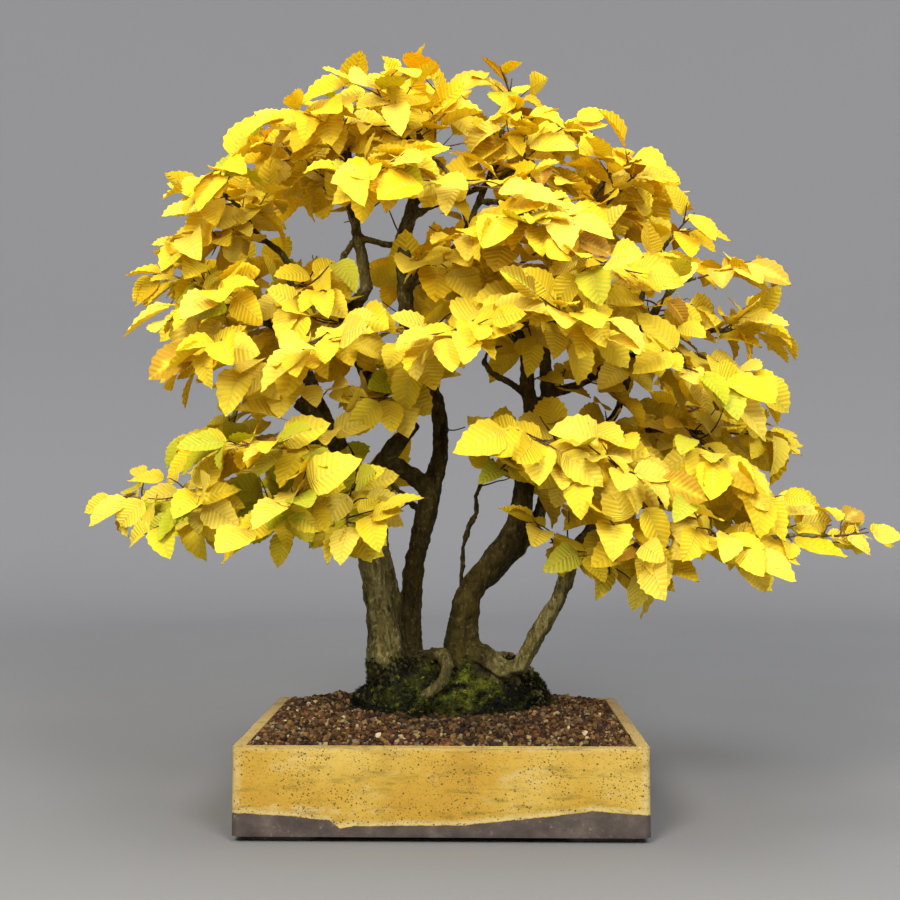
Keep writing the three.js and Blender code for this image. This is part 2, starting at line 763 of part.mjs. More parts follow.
function growLeaf(skin, ring, place) {
  const { foot, heading, face, length, width, arch, fold } = place;
  const left = face.clone().cross(heading).normalize();
  const put = (along, share, lift) => {
    const half = (share * width) / 2;
    const height = fold * Math.abs(half) - arch * along * along * length + lift;
    return skin.point(offset(foot, [heading, along * length], [left, half], [face, height]));
  };
  const lefts = leftOutline.map(([along, share]) => put(along, share, 0));
  const rights = rightOutline.map(([along, share]) => put(along, -share, 0));
  const tip = put(1, 0, 0);
  const above = put(MIDRIB_SPOT, 0, LEAF_THICK / 2);
  const below = put(MIDRIB_SPOT, 0, -LEAF_THICK / 2);
  const [topLeft, bottomLeft, bottomRight, topRight] = ring;
  const overRim = [topRight, ...rights, tip, ...[...lefts].reverse(), topLeft];
  const underRim = [bottomLeft, ...lefts, tip, ...[...rights].reverse(), bottomRight];
  for (const [centre, rim] of [[above, overRim], [below, underRim]]) {
    rim.forEach((corner, k) => skin.faces.push(centre, corner, rim[(k + 1) % rim.length]));
  }
  skin.faces.push(topLeft, lefts[0], bottomLeft);
  skin.faces.push(bottomRight, rights[0], topRight);
}

// A leaf on its own, closed at the foot, to test that it is clear of its neighbours

function loneLeaf(skin, ring, place, clearance) {
  const lone = new Skin();
  const corners = ring.map((index) => new THREE.Vector3().fromArray(skin.points, index * 3));
  const foot = corners.map((corner) => lone.point(corner));
  growLeaf(lone, foot, {
    ...place,
    length: place.length + 2 * clearance,
    width: place.width + 3 * clearance,
  });
  capFoot(lone, foot);
  return lone.solid();
}

function loneTwig(skin, twig) {
  const lone = new Skin();
  const rings = twig.rings.map((ring) =>
    ring.map((index) => lone.point(new THREE.Vector3().fromArray(skin.points, index * 3))));
  closeTwig(lone, { rings }, new Set());
  capFoot(lone, rings[0]);
  capFoot(lone, [...rings[rings.length - 1]].reverse());
  return lone.solid();
}

function crownward(place) {
  const outward = place.clone().sub(crownHeart);
  outward.z *= 0.7;
  return outward.normalize();
}

function wander(draw, foot, heading, left, face, length, steps) {
  const route = [foot.clone()];
  let ahead = heading.clone();
  for (let i = 0; i < steps; i += 1) {
    ahead = offset(ahead, [left, spread(draw, 0.24)], [face, spread(draw, 0.18)]).normalize();
    route.push(offset(route[i], [ahead, length / steps]));
  }
  return route;
}

// The routes of a shoot's main twig and its two side twigs

function shootRoutes(draw, limb) {
  const limbRoute = routeOf(limb.route);
  const end = limbRoute[limbRoute.length - 1];
  const heading = end.clone().sub(limbRoute[limbRoute.length - 2]).normalize();
  const foot = offset(end, [heading, SEAT_GAP]);
  const face = upright(up.clone().multiplyScalar(0.6).addScaledVector(crownward(end), 0.55), heading);
  const left = face.clone().cross(heading).normalize();
  const firstHand = draw() < 0.5 ? 1 : -1;
  const main = wander(draw, foot, heading, left, face, limb.reach, 3);
  const sides = [firstHand, -firstHand].map((hand, i) => {
    const ahead = main[i + 2].clone().sub(main[i]).normalize();
    const out = offset(ahead.multiplyScalar(0.6), [left, 0.8 * hand]).normalize();
    const start = offset(main[i + 1], [left, TWIG_HALF * hand]);
    return { hand, route: wander(draw, start, out, left, face, limb.reach * SIDE_TWIG_SHARES[i], 2) };
  });
  return { face, main, sides };
}

function leafPlace(draw, stem, hand) {
  const { heading, face, place } = stem;
  const left = face.clone().cross(heading).normalize();
  const outward = crownward(place);
  const open = hand === 0 ? spread(draw, 0.5) : hand * (LEAF_OPENING + spread(draw, 0.3));
  const ahead = offset(new THREE.Vector3(), [heading, Math.cos(open)], [left, Math.sin(open)]);
  ahead.addScaledVector(up, -LEAF_DROOP_LEAST - LEAF_DROOP_RANGE * draw()).normalize();
  const turned = offset(face, [outward, 0.9 * draw()], [left, spread(draw, 0.55)]);
  const size = LEAF_SMALLEST + LEAF_SIZE_RANGE * draw();
  return {
    foot: place,
    heading: ahead,
    face: upright(turned, ahead),
    length: LEAF_LENGTH * size,
    width: LEAF_WIDTH * size * (0.92 + 0.16 * draw()),
    arch: 0.08 + 0.24 * draw(),
    fold: 0.1 + 0.2 * draw(),
  };
}

// Neighbours that a new piece has to stay clear of

class Neighbours {
  constructor() {
    this.taken = [];
  }

  add(solid) {
    this.taken.push({ solid, box: solid.boundingBox() });
  }

  crosses(solid) {
    const box = solid.boundingBox();
    return this.taken.some((piece) => {
      const apart = [0, 1, 2].some((k) => piece.box.min[k] > box.max[k] || piece.box.max[k] < box.min[k]);
      return !apart && piece.solid.intersect(solid).volume() > 0;
    });
  }
}

function tryLeaf(skin, draw, ring, stem, hand, own, neighbours) {
  for (let attempt = 0; attempt < LEAF_TRIES; attempt += 1) {
    const place = leafPlace(draw, stem, hand);
    const lone = loneLeaf(skin, ring, place, CLEARANCE);
    if (lone.volume() <= 0 || neighbours.crosses(lone)) {
      continue;
    }
    if (own.every((piece) => piece.intersect(lone).volume() < 1e-4)) {
      growLeaf(skin, ring, place);
      own.push(lone);
      return true;
    }
  }
  return false;
}

function shootSkin(limb, seed, neighbours) {
  const draw = randomSource(seed);
  const { face, main, sides } = shootRoutes(draw, limb);
  const skin = new Skin();
  const mainTwig = growTwig(skin, main, face, TWIG_HALF, TWIG_TIP_HALF);
  const sideTwigs = sides.map(({ hand, route }, i) => {
    const ring = sideRing(mainTwig, mainTwig.joints[i], hand);
    return growTwig(skin, route, face, TWIG_HALF * SIDE_TWIG_THINNER, TWIG_TIP_HALF, ring);
  });
  const twigs = [mainTwig, ...sideTwigs];
  const own = twigs.map((twig) => loneTwig(skin, twig));
  if (own.some((twig) => neighbours.crosses(twig))) {
    throw new Error(`the twigs of a shoot cross a neighbour: redraw seed ${seed}`);
  }
  const open = twigs.map(() => new Set());
  const sideOf = (hand) => (hand > 0 ? 0 : 2);
  sides.forEach(({ hand }, i) => open[0].add(`${mainTwig.joints[i].at} ${sideOf(hand)}`));
  const leafDraw = randomSource(seed + LEAF_SEED_STEP);
  const atJoint = (t, j, hand) => {
    const twig = twigs[t];
    const joint = twig.joints[j];
    if (tryLeaf(skin, leafDraw, sideRing(twig, joint, hand), joint, hand, own, neighbours)) {
      open[t].add(`${joint.at} ${sideOf(hand)}`);
    }
  };
  twigs.forEach((twig) => {
    const ring = twig.rings[twig.rings.length - 1];
    if (!tryLeaf(skin, leafDraw, ring, twig.end, 0, own, neighbours)) {
      capFoot(skin, [...ring].reverse());
    }
  });
  atJoint(0, 0, -sides[0].hand);
  atJoint(0, 1, -sides[1].hand);
  atJoint(1, 0, sides[0].hand);
  atJoint(2, 0, sides[1].hand);
  capFoot(skin, mainTwig.rings[0]);
  twigs.forEach((twig, i) => closeTwig(skin, twig, open[i]));
  return skin;
}

// Assembly

const bonsai = new THREE.Group();
const neighbours = new Neighbours();

const limbs = { ...trunks, ...leftLimbs, ...middleLimbs, ...rightLimbs, ...frontLimbs };
const wood = joined([rootStock(0), ...Object.values(limbs).map((limb) => limbSolid(limb))]);
const hole = stockHole();
const soilFloor = cavityFloor + 2 * SEAT_GAP + SCREEN_THICK;
const soil = soilBlock(0).intersect(cavity(SEAT_GAP, soilFloor, STOCK_CENTRE.z + STOCK_RADIUS.z));

bonsai.add(meshFrom(potSolid(), "pot", finishes.glaze));
for (const side of [-1, 1]) {
  const name = side < 0 ? "drainage_screen_left" : "drainage_screen_right";
  bonsai.add(meshFrom(screenSolid((side * DRAIN_SPACING) / 2), name, finishes.screen));
}
bonsai.add(meshFrom(largestBody(soil.subtract(hole)), "soil", finishes.soil));
bonsai.add(meshFrom(mossSolid(hole), "moss", finishes.moss));
bonsai.add(meshFrom(largestBody(wood), "tree", finishes.bark));
neighbours.add(wood);

const leafyLimbs = Object.entries(limbs).filter(([, limb]) => limb.reach);
leafyLimbs.forEach(([name, limb], order) => {
  const seed = 100 * (order + 1) + (limb.redraw ?? 0);
  const shoot = shootSkin(limb, seed, neighbours).solid();
  neighbours.add(shoot);
  bonsai.add(meshFrom(shoot, `shoot_${name}`, finishes.leaf));
});

// The origin is under the middle of the whole object, which the crown sets off the pot's own middle

const middle = new THREE.Box3().setFromObject(bonsai).getCenter(new THREE.Vector3());
bonsai.position.set(-middle.x, -middle.y, 0);

export default bonsai;
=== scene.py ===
"""Hornbeam bonsai in autumn leaf, in a glazed stoneware pot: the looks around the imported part."""

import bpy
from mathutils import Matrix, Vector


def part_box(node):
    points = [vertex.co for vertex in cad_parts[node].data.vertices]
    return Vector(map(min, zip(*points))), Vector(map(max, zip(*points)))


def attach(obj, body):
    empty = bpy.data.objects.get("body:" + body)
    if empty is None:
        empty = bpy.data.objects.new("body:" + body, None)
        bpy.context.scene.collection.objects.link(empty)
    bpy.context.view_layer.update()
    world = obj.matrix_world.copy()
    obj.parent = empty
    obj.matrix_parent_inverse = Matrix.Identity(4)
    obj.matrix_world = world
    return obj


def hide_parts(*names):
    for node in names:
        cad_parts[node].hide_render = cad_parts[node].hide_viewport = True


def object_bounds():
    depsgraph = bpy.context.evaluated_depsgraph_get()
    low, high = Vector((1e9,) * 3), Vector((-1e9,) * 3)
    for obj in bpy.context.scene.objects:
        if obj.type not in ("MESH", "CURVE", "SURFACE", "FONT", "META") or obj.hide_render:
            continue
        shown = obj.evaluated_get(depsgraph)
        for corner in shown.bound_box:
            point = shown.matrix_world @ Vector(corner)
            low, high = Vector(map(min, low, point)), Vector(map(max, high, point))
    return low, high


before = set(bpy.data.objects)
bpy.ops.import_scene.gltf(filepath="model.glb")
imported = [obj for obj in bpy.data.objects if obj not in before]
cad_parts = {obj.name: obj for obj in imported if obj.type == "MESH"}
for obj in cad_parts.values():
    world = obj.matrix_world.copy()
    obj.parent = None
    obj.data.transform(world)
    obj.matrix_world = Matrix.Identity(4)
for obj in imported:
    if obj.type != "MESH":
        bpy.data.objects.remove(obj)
bounds_at_load = [list(corner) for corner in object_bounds()]

import itertools
import math
import random

import bpy
from mathutils import Matrix, Vector, noise

bl_info = {
    "name": "Hornbeam Bonsai",
    "version": (1, 0, 0),
    "blender": (4, 5, 0),
    "location": "3D View > Sidebar > Bonsai",
    "description": "Models a hornbeam bonsai in autumn leaf around its packed part",
    "category": "Add Mesh",
}

MM = 0.001
POT_LOW, POT_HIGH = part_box("pot")
POT_CENTRE = Vector(((POT_LOW.x + POT_HIGH.x) / 2, (POT_LOW.y + POT_HIGH.y) / 2, 0))
POT_SIZE = POT_HIGH - POT_LOW
WHOLE_LOW, WHOLE_HIGH = (Vector(corner) for corner in bounds_at_load)


def at_pot(x, y, z):
    """A place given in millimetres from the middle of the pot's foot."""
    return POT_CENTRE + Vector((x, y, z)) * MM


def clamp(value, low=0.0, high=1.0):
    return min(high, max(low, value))


def mound(across, up, wide, tall):
    """1 at the middle of a place of this half size, falling smoothly to 0 round it."""
    return math.exp(-((across / wide) ** 2) - (up / tall) ** 2)


def in_oval(x, z, across, high, half, tall):
    return ((x - across) / half) ** 2 + ((z - high) / tall) ** 2 < 1


def scattered(draw, amount):
    """A step in any direction, spread by this amount along each axis."""
    return Vector([draw.gauss(0, amount) for _ in range(3)])


# Colours

def tint(code):
    """A colour from its six-figure code, in linear light."""
    shares = [int(code[i : i + 2], 16) / 255 for i in (0, 2, 4)]
    return tuple([((s + 0.055) / 1.055) ** 2.4 if s > 0.04 else s / 12.92 for s in shares] + [1.0])


class Wire:
    """A value on its way through a material. Sums on it add Math nodes."""

    def __init__(self, finish, socket):
        self.finish = finish
        self.socket = socket

    def sum(self, operation, first, second):
        return self.finish.node("ShaderNodeMath", {"operation": operation}, {0: first, 1: second})

    def __add__(self, other):
        return self.sum("ADD", self, other)

    __radd__ = __add__

    def __sub__(self, other):
        return self.sum("SUBTRACT", self, other)

    def __rsub__(self, other):
        return self.sum("SUBTRACT", other, self)

    def __mul__(self, other):
        return self.sum("MULTIPLY", self, other)

    __rmul__ = __mul__

    def __truediv__(self, other):
        return self.sum("DIVIDE", self, other)

    def __pow__(self, other):
        return self.sum("POWER", self, other)

    def __abs__(self):
        return self.sum("ABSOLUTE", self, 0.0)

    def most(self, other):
        return self.sum("MAXIMUM", self, other)


class Finish:
    """A material built from nodes around one main shader."""

    def __init__(self, name, roughness, specular=0.5):
        self.material = bpy.data.materials.new(name)
        self.material.use_nodes = True
        self.tree = self.material.node_tree
        self.shader = self.tree.nodes["Principled BSDF"]
        self.output = self.tree.nodes["Material Output"]
        self.shader.inputs["Roughness"].default_value = roughness
        self.shader.inputs["Specular IOR Level"].default_value = specular

    def node(self, kind, settings=None, values=None, out=0):
        """Adds a node, sets it up, then gives its sockets their values or links."""
        made = self.tree.nodes.new(kind)
        for name, value in (settings or {}).items():
            if name == "stops":
                self.set_stops(made.color_ramp, value)
            else:
                setattr(made, name, value)
        for socket, value in (values or {}).items():
            self.feed(made.inputs[socket], value)
        return Wire(self, made.outputs[out])

    def set_stops(self, ramp, stops):
        while len(ramp.elements) < len(stops):
            ramp.elements.new(0.5)
        for element, (place, colour) in zip(ramp.elements, stops):
            element.position = place
            element.color = colour

    def feed(self, socket, value):
        if isinstance(value, Wire):
            self.tree.links.new(value.socket, socket)
        else:
            socket.default_value = value

    def show(self, **wires):
        for socket, wire in wires.items():
            self.feed(self.shader.inputs[socket.replace("_", " ")], wire)

    def place(self):
        return self.node("ShaderNodeTexCoord", out="Object")

    def axes(self, vector):
        return [self.node("ShaderNodeSeparateXYZ", None, {0: vector}, out=i) for i in range(3)]

    def stretched(self, vector, scale):
        return self.node("ShaderNodeVectorMath", {"operation": "MULTIPLY"}, {0: vector, 1: scale})

    def noise(self, vector, scale, detail=3.0, rough=0.5, distortion=0.0):
        values = {"Vector": vector, "Scale": scale, "Detail": detail, "Roughness": rough}
        return self.node("ShaderNodeTexNoise", None, values | {"Distortion": distortion})

    def cells(self, vector, scale, out=0):
        return self.node("ShaderNodeTexVoronoi", None, {"Vector": vector, "Scale": scale}, out)

    def specks(self, vector, scale, size, share):
        """Round specks, one in each chosen cell, which are this share of all cells."""
        lot = self.node("ShaderNodeTexWhiteNoise", None, {0: self.cells(vector, scale, out="Position")})
        near = 1 - self.rise(self.cells(vector, scale), size * 0.6, size)
        return near * self.rise(lot, 1 - share, 1.01 - share)

    def rise(self, value, low, high):
        """0 below low, 1 above high, and a smooth step between."""
        settings = {"interpolation_type": "SMOOTHSTEP"}
        return self.node("ShaderNodeMapRange", settings, {0: value, 1: low, 2: high, 3: 0.0, 4: 1.0})

    def zigzag(self, value, height):
        """Up to the height and down to 0 again, over and over."""
        return self.node("ShaderNodeMath", {"operation": "PINGPONG"}, {0: value, 1: height})

    def ramp(self, value, *stops):
        return self.node("ShaderNodeValToRGB", {"stops": stops}, {0: value})

    def tones(self, value, *stops):
        """A ramp between colours given by their six-figure codes."""
        return self.ramp(value, *[(place, tint(code)) for place, code in stops])

    def brightness(self, colour):
        return self.node("ShaderNodeRGBToBW", None, {0: colour})

    def mix(self, share, first, second):
        return self.node("ShaderNodeMix", {"data_type": "RGBA"}, {0: share, 6: first, 7: second}, out=2)

    def scaled(self, colour, amount):
        return self.node("ShaderNodeVectorMath", {"operation": "SCALE"}, {0: colour, "Scale": amount})

    def bump(self, height, depth):
        return self.node("ShaderNodeBump", None, {"Strength": 1.0, "Distance": depth, "Height": height})

    def attribute(self, name):
        return self.node("ShaderNodeAttribute", {"attribute_name": name}, out="Color")

    def uv(self, name):
        return self.node("ShaderNodeUVMap", {"uv_map": name})


# Finishes

# The lower edge of the glaze on the pot's front: share of the way across, height as a share of 50 mm
GLAZE_LINE = (
    (0.0, 0.56), (0.12, 0.52), (0.235, 0.43), (0.262, 0.27), (0.30, 0.33), (0.55, 0.345), (0.74, 0.50),
    (0.86, 0.62), (1.0, 0.54),
)

# The folds that the side veins press into a leaf, from its foot to its tip
PLEATS = 12.5


def from_pot(f, spot):
    """A place's x, y and z in millimetres from the middle of the pot's foot."""
    x, y, z = f.axes(spot)
    return (x - POT_CENTRE.x) / MM, (y - POT_CENTRE.y) / MM, z / MM


def glaze_finish(settings):
    """Ochre glaze with dark specks, over bare dark clay below a wavy line."""
    f = Finish("ochre_glaze", roughness=0.42, specular=0.4)
    spot = f.place()
    x, y, z = from_pot(f, spot)
    broad = f.noise(spot, 9.0, 3.0)
    fine = f.noise(spot, 160.0, 4.0, 0.6)
    along = (x + 200) / 400
    heights = [(place, (height, height, height, 1)) for place, height in GLAZE_LINE]
    front_line = f.brightness(f.ramp(along, *heights)) * 50
    back_line = 26 + 5 * f.node("ShaderNodeMath", {"operation": "SINE"}, {0: x * 0.031 + 0.8})
    towards_back = f.rise(y, -140.0, 140.0)
    line = front_line * (1 - towards_back) + back_line * towards_back + (f.noise(spot, 60.0, 2.0) - 0.5) * 2.4
    line = line + (f.noise(spot, 320.0, 2.0) - 0.5) * 1.4
    glazed = f.rise(z - line, -0.25, 0.25)

    inner = f.rise(abs(x), 187.5, 188.5).most(f.rise(abs(y), 137.5, 138.5))
    glazed = glazed * inner.most(f.rise(z, 82.0, 84.0))
    body = f.tones(broad, (0.3, settings.glaze_deep), (0.5, settings.glaze), (0.72, "C3A54C"))
    above_line = f.rise(z - line, 0.0, 1.5) * (1 - f.rise(z - line, 1.5, 7.0))
    rim = f.rise(z + (fine - 0.5) * 5, 84.5, 89.5)
    corner = f.rise(abs(x) + abs(y) + (fine - 0.5) * 12, 336.0, 347.0)
    paler = (above_line * 0.55).most(rim * 0.24).most(corner * 0.4)
    worn = f.noise(f.stretched(spot, (20.0, 20.0, 48.0)), 1.0, 3.0, 0.6)
    paler = paler.most(f.rise(worn, 0.56, 0.75) * 0.4)
    body = f.mix(paler, body, tint("C8BF8E"))
    smear = f.noise(f.stretched(spot, (14.0, 14.0, 60.0)), 1.0, 4.0, 0.65)
    body = f.mix(f.rise(smear, 0.52, 0.68) * 0.5, body, tint("8A7022"))
    olive = f.noise(f.stretched(spot, (26.0, 26.0, 130.0)), 1.0, 4.0, 0.6)
    body = f.mix(f.rise(olive, 0.55, 0.68) * 0.5, body, tint("72641C"))
    body = f.scaled(body, (fine - 0.5) * 0.25 + 1)
    crowded = f.rise(f.noise(spot, 26.0, 3.0), 0.35, 0.6) * 0.7 + 0.3
    dust = f.specks(spot, 560.0, 0.36, 0.6) * crowded * 0.75
    small = f.specks(spot, 300.0, 0.30, 0.7) * crowded
    big = f.specks(spot, 140.0, 0.17, 0.7)
    specks = dust.most(small).most(big)
    body = f.mix(specks * 0.85, body, tint("46360A"))

    clay = f.tones(f.noise(spot, 40.0, 5.0, 0.65), (0.3, "322A25"), (0.55, "4D433C"), (0.75, "64594E"))
    clay = f.mix(f.rise(fine, 0.62, 0.75) * 0.5, clay, tint("857C70"))
    f.show(Base_Color=f.mix(glazed, clay, body))
    f.show(Roughness=f.rise(fine, 0.2, 0.8) * 0.18 + (1 - glazed) * 0.34 + 0.36)
    height = glazed * 0.5 + specks * -0.18 + broad * 0.6 + fine * (1.3 - glazed) * 0.35
    f.show(Normal=f.bump(height, 0.9 * MM))
    return f.material


def screen_finish():
    """Black moulded mesh."""
    f = Finish("black_mesh", roughness=0.55)
    spot = f.place()
    f.show(Base_Color=f.tones(f.noise(spot, 300.0), (0.3, "1C1C1B"), (0.8, "3A3A37")))
    f.show(Normal=f.bump(f.noise(spot, 900.0), 0.2 * MM))
    return f.material


def soil_finish():
    """The fine wet crumb between the grains."""
    f = Finish("soil_crumb", roughness=0.95, specular=0.2)
    crumb = f.noise(f.place(), 320.0, 5.0, 0.7)
    f.show(Base_Color=f.tones(crumb, (0.3, "1A110B"), (0.55, "38261A"), (0.75, "5C4331")))
    f.show(Normal=f.bump(crumb, 1.5 * MM))
    return f.material


def grit_finish():
    """Baked clay, lava and pumice grains; each grain has its own tone."""
    f = Finish("grit_grains", roughness=0.85, specular=0.25)
    pores = f.noise(f.place(), 900.0, 4.0, 0.7)
    f.show(Base_Color=f.scaled(f.attribute("tone"), pores * 0.9 + 0.5))
    f.show(Normal=f.bump(pores, 0.5 * MM))
    return f.material


def moss_finish():
    """Short moss, dark and wet with a bright patch at the front."""
    f = Finish("moss", roughness=0.9, specular=0.15)
    mottle = f.noise(f.place(), 240.0, 4.0, 0.65)
    f.show(Base_Color=f.scaled(f.attribute("tone"), mottle * 1.1 + 0.4))
    f.show(Normal=f.bump(mottle, 1.2 * MM))
    return f.material


def bark_finish(settings):
    """Dark olive bark with fissures, darkened further with painted shade; paler on the left trunk, kneeling
    limb and arched root, with lichen and painted light.
    """
    f = Finish("hornbeam_bark", roughness=0.88, specular=0.2)
    spot = f.place()
    x, y, z = from_pot(f, spot)
    streak = f.noise(f.stretched(spot, (1.0, 1.0, 0.3)), 150.0, 5.0, 0.62, 0.3)
    broad = f.noise(spot, 26.0, 3.0, 0.55)
    fine = f.noise(spot, 620.0, 4.0, 0.65)
    relief = streak * 0.65 + broad * 0.35
    dark = settings.bark_dark
    # Two palettes laid by place: the shaded one is dark bark with painted shade, the pale one is lichen with
    # painted light
    shaded = f.tones(relief, (0.34, dark), (0.47, settings.bark), (0.60, "42370C"), (0.73, "695B26"))
    pale = f.tones(relief, (0.33, "322B12"), (0.46, "5E5429"), (0.58, "7B703F"), (0.72, "9A9164"))
    left_trunk = 1 - f.rise(x, -50.0, -42.0)
    kneeling_limb = f.rise(x - z * 0.35, -12.0, 0.0)
    arched_root = (1 - f.rise(y, -32.0, -24.0)) * f.rise(x, -40.0, -34.0) * (1 - f.rise(x, 12.0, 20.0))
    bare = kneeling_limb.most(arched_root * (1 - f.rise(z, 165.0, 180.0)) * 0.5)
    # Where the pale palette goes: painted light with lichen on the left trunk and bare parts, fading up the
    # trunks, and a little on the high limbs
    lit_and_lichened = left_trunk.most(bare) * (1 - f.rise(z, 300.0, 420.0)) + f.rise(z, 380.0, 480.0) * 0.25
    bark = f.mix(lit_and_lichened * 0.85, shaded, pale)
    fleck = f.noise(f.stretched(spot, (1.0, 1.0, 0.6)), 230.0, 5.0, 0.7)
    bark = f.mix(f.rise(fleck, 0.54, 0.64) * (lit_and_lichened * 0.45 + 0.2), bark, tint("9A9262"))
    blotch = f.noise(spot, 62.0, 5.0, 0.7)
    bark = f.mix(f.rise(blotch, 0.50, 0.62) * (lit_and_lichened * 0.4 + 0.05), bark, tint("857F52"))
    fissure = f.noise(f.stretched(spot, (1.0, 1.0, 0.32)), 210.0, 4.0, 0.65, 0.5)
    bark = f.mix(f.rise(fissure, 0.55, 0.68) * 0.65, bark, tint(dark))
    algae = f.noise(spot, 34.0, 4.0, 0.6)
    green = f.rise(algae, 0.45, 0.7) * (1 - f.rise(z, 130.0, 260.0)) * (0.6 - bare * 0.3)
    bark = f.mix(green, bark, tint("33330F"))
    foot = (1 - f.rise(z, 140.0, 165.0)) * f.rise(algae, 0.25, 0.5)
    bark = f.mix(foot * (0.85 - bare * 0.7), bark, tint("17160A"))
    f.show(Base_Color=f.scaled(bark, fine * 0.6 + 0.7))
    height = streak * 0.9 - f.rise(fissure, 0.5, 0.7) * 0.7 + fine * 0.3 + blotch * 0.5
    f.show(Roughness=0.78 + fine * 0.2)
    f.show(Normal=f.bump(height, 2.4 * MM))
    return f.material


def twig_finish():
    """Thin red-brown twigs."""
    f = Finish("twig_bark", roughness=0.6, specular=0.35)
    mottle = f.noise(f.place(), 260.0, 4.0, 0.6)
    f.show(Base_Color=f.tones(mottle, (0.3, "2A1A10"), (0.5, "4A2F1E"), (0.72, "6E5138")))
    f.show(Normal=f.bump(mottle, 0.6 * MM))
    return f.material


def leaf_finish(settings):
    """An autumn leaf: each has its own tone, pleated side veins and a pale midrib."""
    f = Finish("autumn_leaf", roughness=0.5, specular=0.14)
    spot = f.place()
    u, along, _ = f.axes(f.uv("UVMap"))
    tone, green, brown = f.axes(f.attribute("tone"))
    across = abs(u - 0.5) * 2
    pleat = f.zigzag(along * PLEATS, 0.5) * 2
    blade = f.rise(along, 0.07, 0.10)
    blotch = f.noise(spot, 55.0, 3.0, 0.6)
    fine = f.noise(spot, 420.0, 3.0, 0.6)
    yellow = f.tones(
        tone * 0.8 + blotch * 0.25, (0.0, settings.leaf_pale), (0.3, settings.leaf_bright),
        (0.62, settings.leaf_gold), (1.0, settings.leaf_amber),
    )
    between = f.rise(pleat, 0.05, 0.75) * 0.35 + 0.65
    still_green = green * between * f.rise(blotch + green * 0.5, 0.35, 0.6)
    yellow = f.mix(still_green * 0.9, yellow, tint("A3C222"))
    rust = brown * f.rise(across * 0.7 + blotch * 0.9 + brown * 0.5, 0.7, 1.15)
    yellow = f.mix(rust * 0.85, yellow, tint("A3601C"))
    spots = f.rise(f.noise(spot, 190.0, 2.0), 0.70, 0.76) * 0.55
    yellow = f.mix(spots, yellow, tint("A96B15"))
    vein = (1 - f.rise(pleat, 0.05, 0.34)) * 0.36 * blade
    yellow = f.mix(vein, yellow, tint("DAA616"))
    midrib = (1 - f.rise(across, 0.02, 0.08)) * 0.5
    yellow = f.mix(midrib, yellow, tint("F6E070"))
    yellow = f.mix((1 - blade) * 0.8, yellow, tint("8A5A1C"))
    colour = f.scaled(yellow, fine * 0.16 + 0.92)
    f.show(Base_Color=colour)
    f.show(Roughness=0.42 + fine * 0.2)
    height = f.rise(pleat, 0.0, 1.0) * blade * (1.1 - across * 0.4) + midrib * 1.2 + fine * 0.1
    normal = f.bump(height, 0.5 * MM)
    f.show(Normal=normal)
    through = f.tree.nodes.new("ShaderNodeBsdfTranslucent")
    f.feed(through.inputs["Color"], f.mix(0.4, colour, tint("FFDA18")))
    f.feed(through.inputs["Normal"], normal)
    mixer = f.tree.nodes.new("ShaderNodeMixShader")
    mixer.inputs[0].default_value = settings.translucency
    f.tree.links.new(f.shader.outputs[0], mixer.inputs[1])
    f.tree.links.new(through.outputs[0], mixer.inputs[2])
    f.tree.links.new(mixer.outputs[0], f.output.inputs["Surface"])
    return f.material


def floor_finish():
    """Pale studio paper with painted light: darker round the middle and lighter towards the wall, evening out
    the lamps' falloff.
    """
    f = Finish("studio_paper", roughness=0.8, specular=0.2)
    spot = f.place()
    x, y, _ = f.axes(spot)
    away = (x * x + y * y) ** 0.5 + (f.noise(spot, 3.0, 2.0) - 0.5) * 0.3
    # Painted light: the paper is darker near the middle and lighter far out
    f.show(Base_Color=f.tones(away / 3, (0.25, "7E7E7D"), (0.85, "9B9B9D")))
    return f.material


# Modelling by hand

def only(*pieces):
    """Selects these pieces alone, the first of them active."""
    if bpy.context.mode != "OBJECT":
        bpy.ops.object.mode_set(mode="OBJECT")
    bpy.ops.object.select_all(action="DESELECT")
    for piece in pieces:
        piece.select_set(True)
    bpy.context.view_layer.objects.active = pieces[0]
    return pieces[0]


def added(operator, **options):
    """Adds a primitive with nothing else selected, and returns it."""
    bpy.ops.object.select_all(action="DESELECT")
    operator(**options)
    return bpy.context.view_layer.objects.active


def pick(piece, test, kind="VERT"):
    """In edit mode, selects the corners or faces of the piece for which the test holds."""
    bpy.ops.object.mode_set(mode="EDIT")
    bpy.ops.mesh.select_mode(type=kind)
    bpy.ops.mesh.select_all(action="DESELECT")
    bpy.ops.object.mode_set(mode="OBJECT")
    if kind == "VERT":
        for corner in piece.data.vertices:
            corner.select = bool(test(corner.co))
    elif kind == "EDGE":
        corners = piece.data.vertices
        for edge in piece.data.edges:
            edge.select = bool(test(corners[edge.vertices[0]].co, corners[edge.vertices[1]].co))
    else:
        for face in piece.data.polygons:
            face.select = bool(test(face.center, face.normal))
    bpy.ops.object.mode_set(mode="EDIT")


def pick_all(piece):
    pick(piece, lambda corner: True)


def leave():
    bpy.ops.object.mode_set(mode="OBJECT")


def sized(piece, x, y, z):
    """Stretches a piece and keeps the new size in its mesh."""
    piece.scale = (x, y, z)
    bpy.ops.object.transform_apply(location=True, rotation=False, scale=True)


def modified(piece, kind, **settings):
    """Adds a modifier to the piece and applies it."""
    only(piece)
    made = piece.modifiers.new(kind.lower(), kind)
    for name, value in settings.items():
        setattr(made, name, value)
    bpy.ops.object.modifier_apply(modifier=made.name)
    return piece


def clouds(name, size, depth=2):
    """A cloudy pattern for the Displace modifier."""
    made = bpy.data.textures.new(name, "CLOUDS")
    made.noise_scale = size
    made.noise_depth = depth
    return made


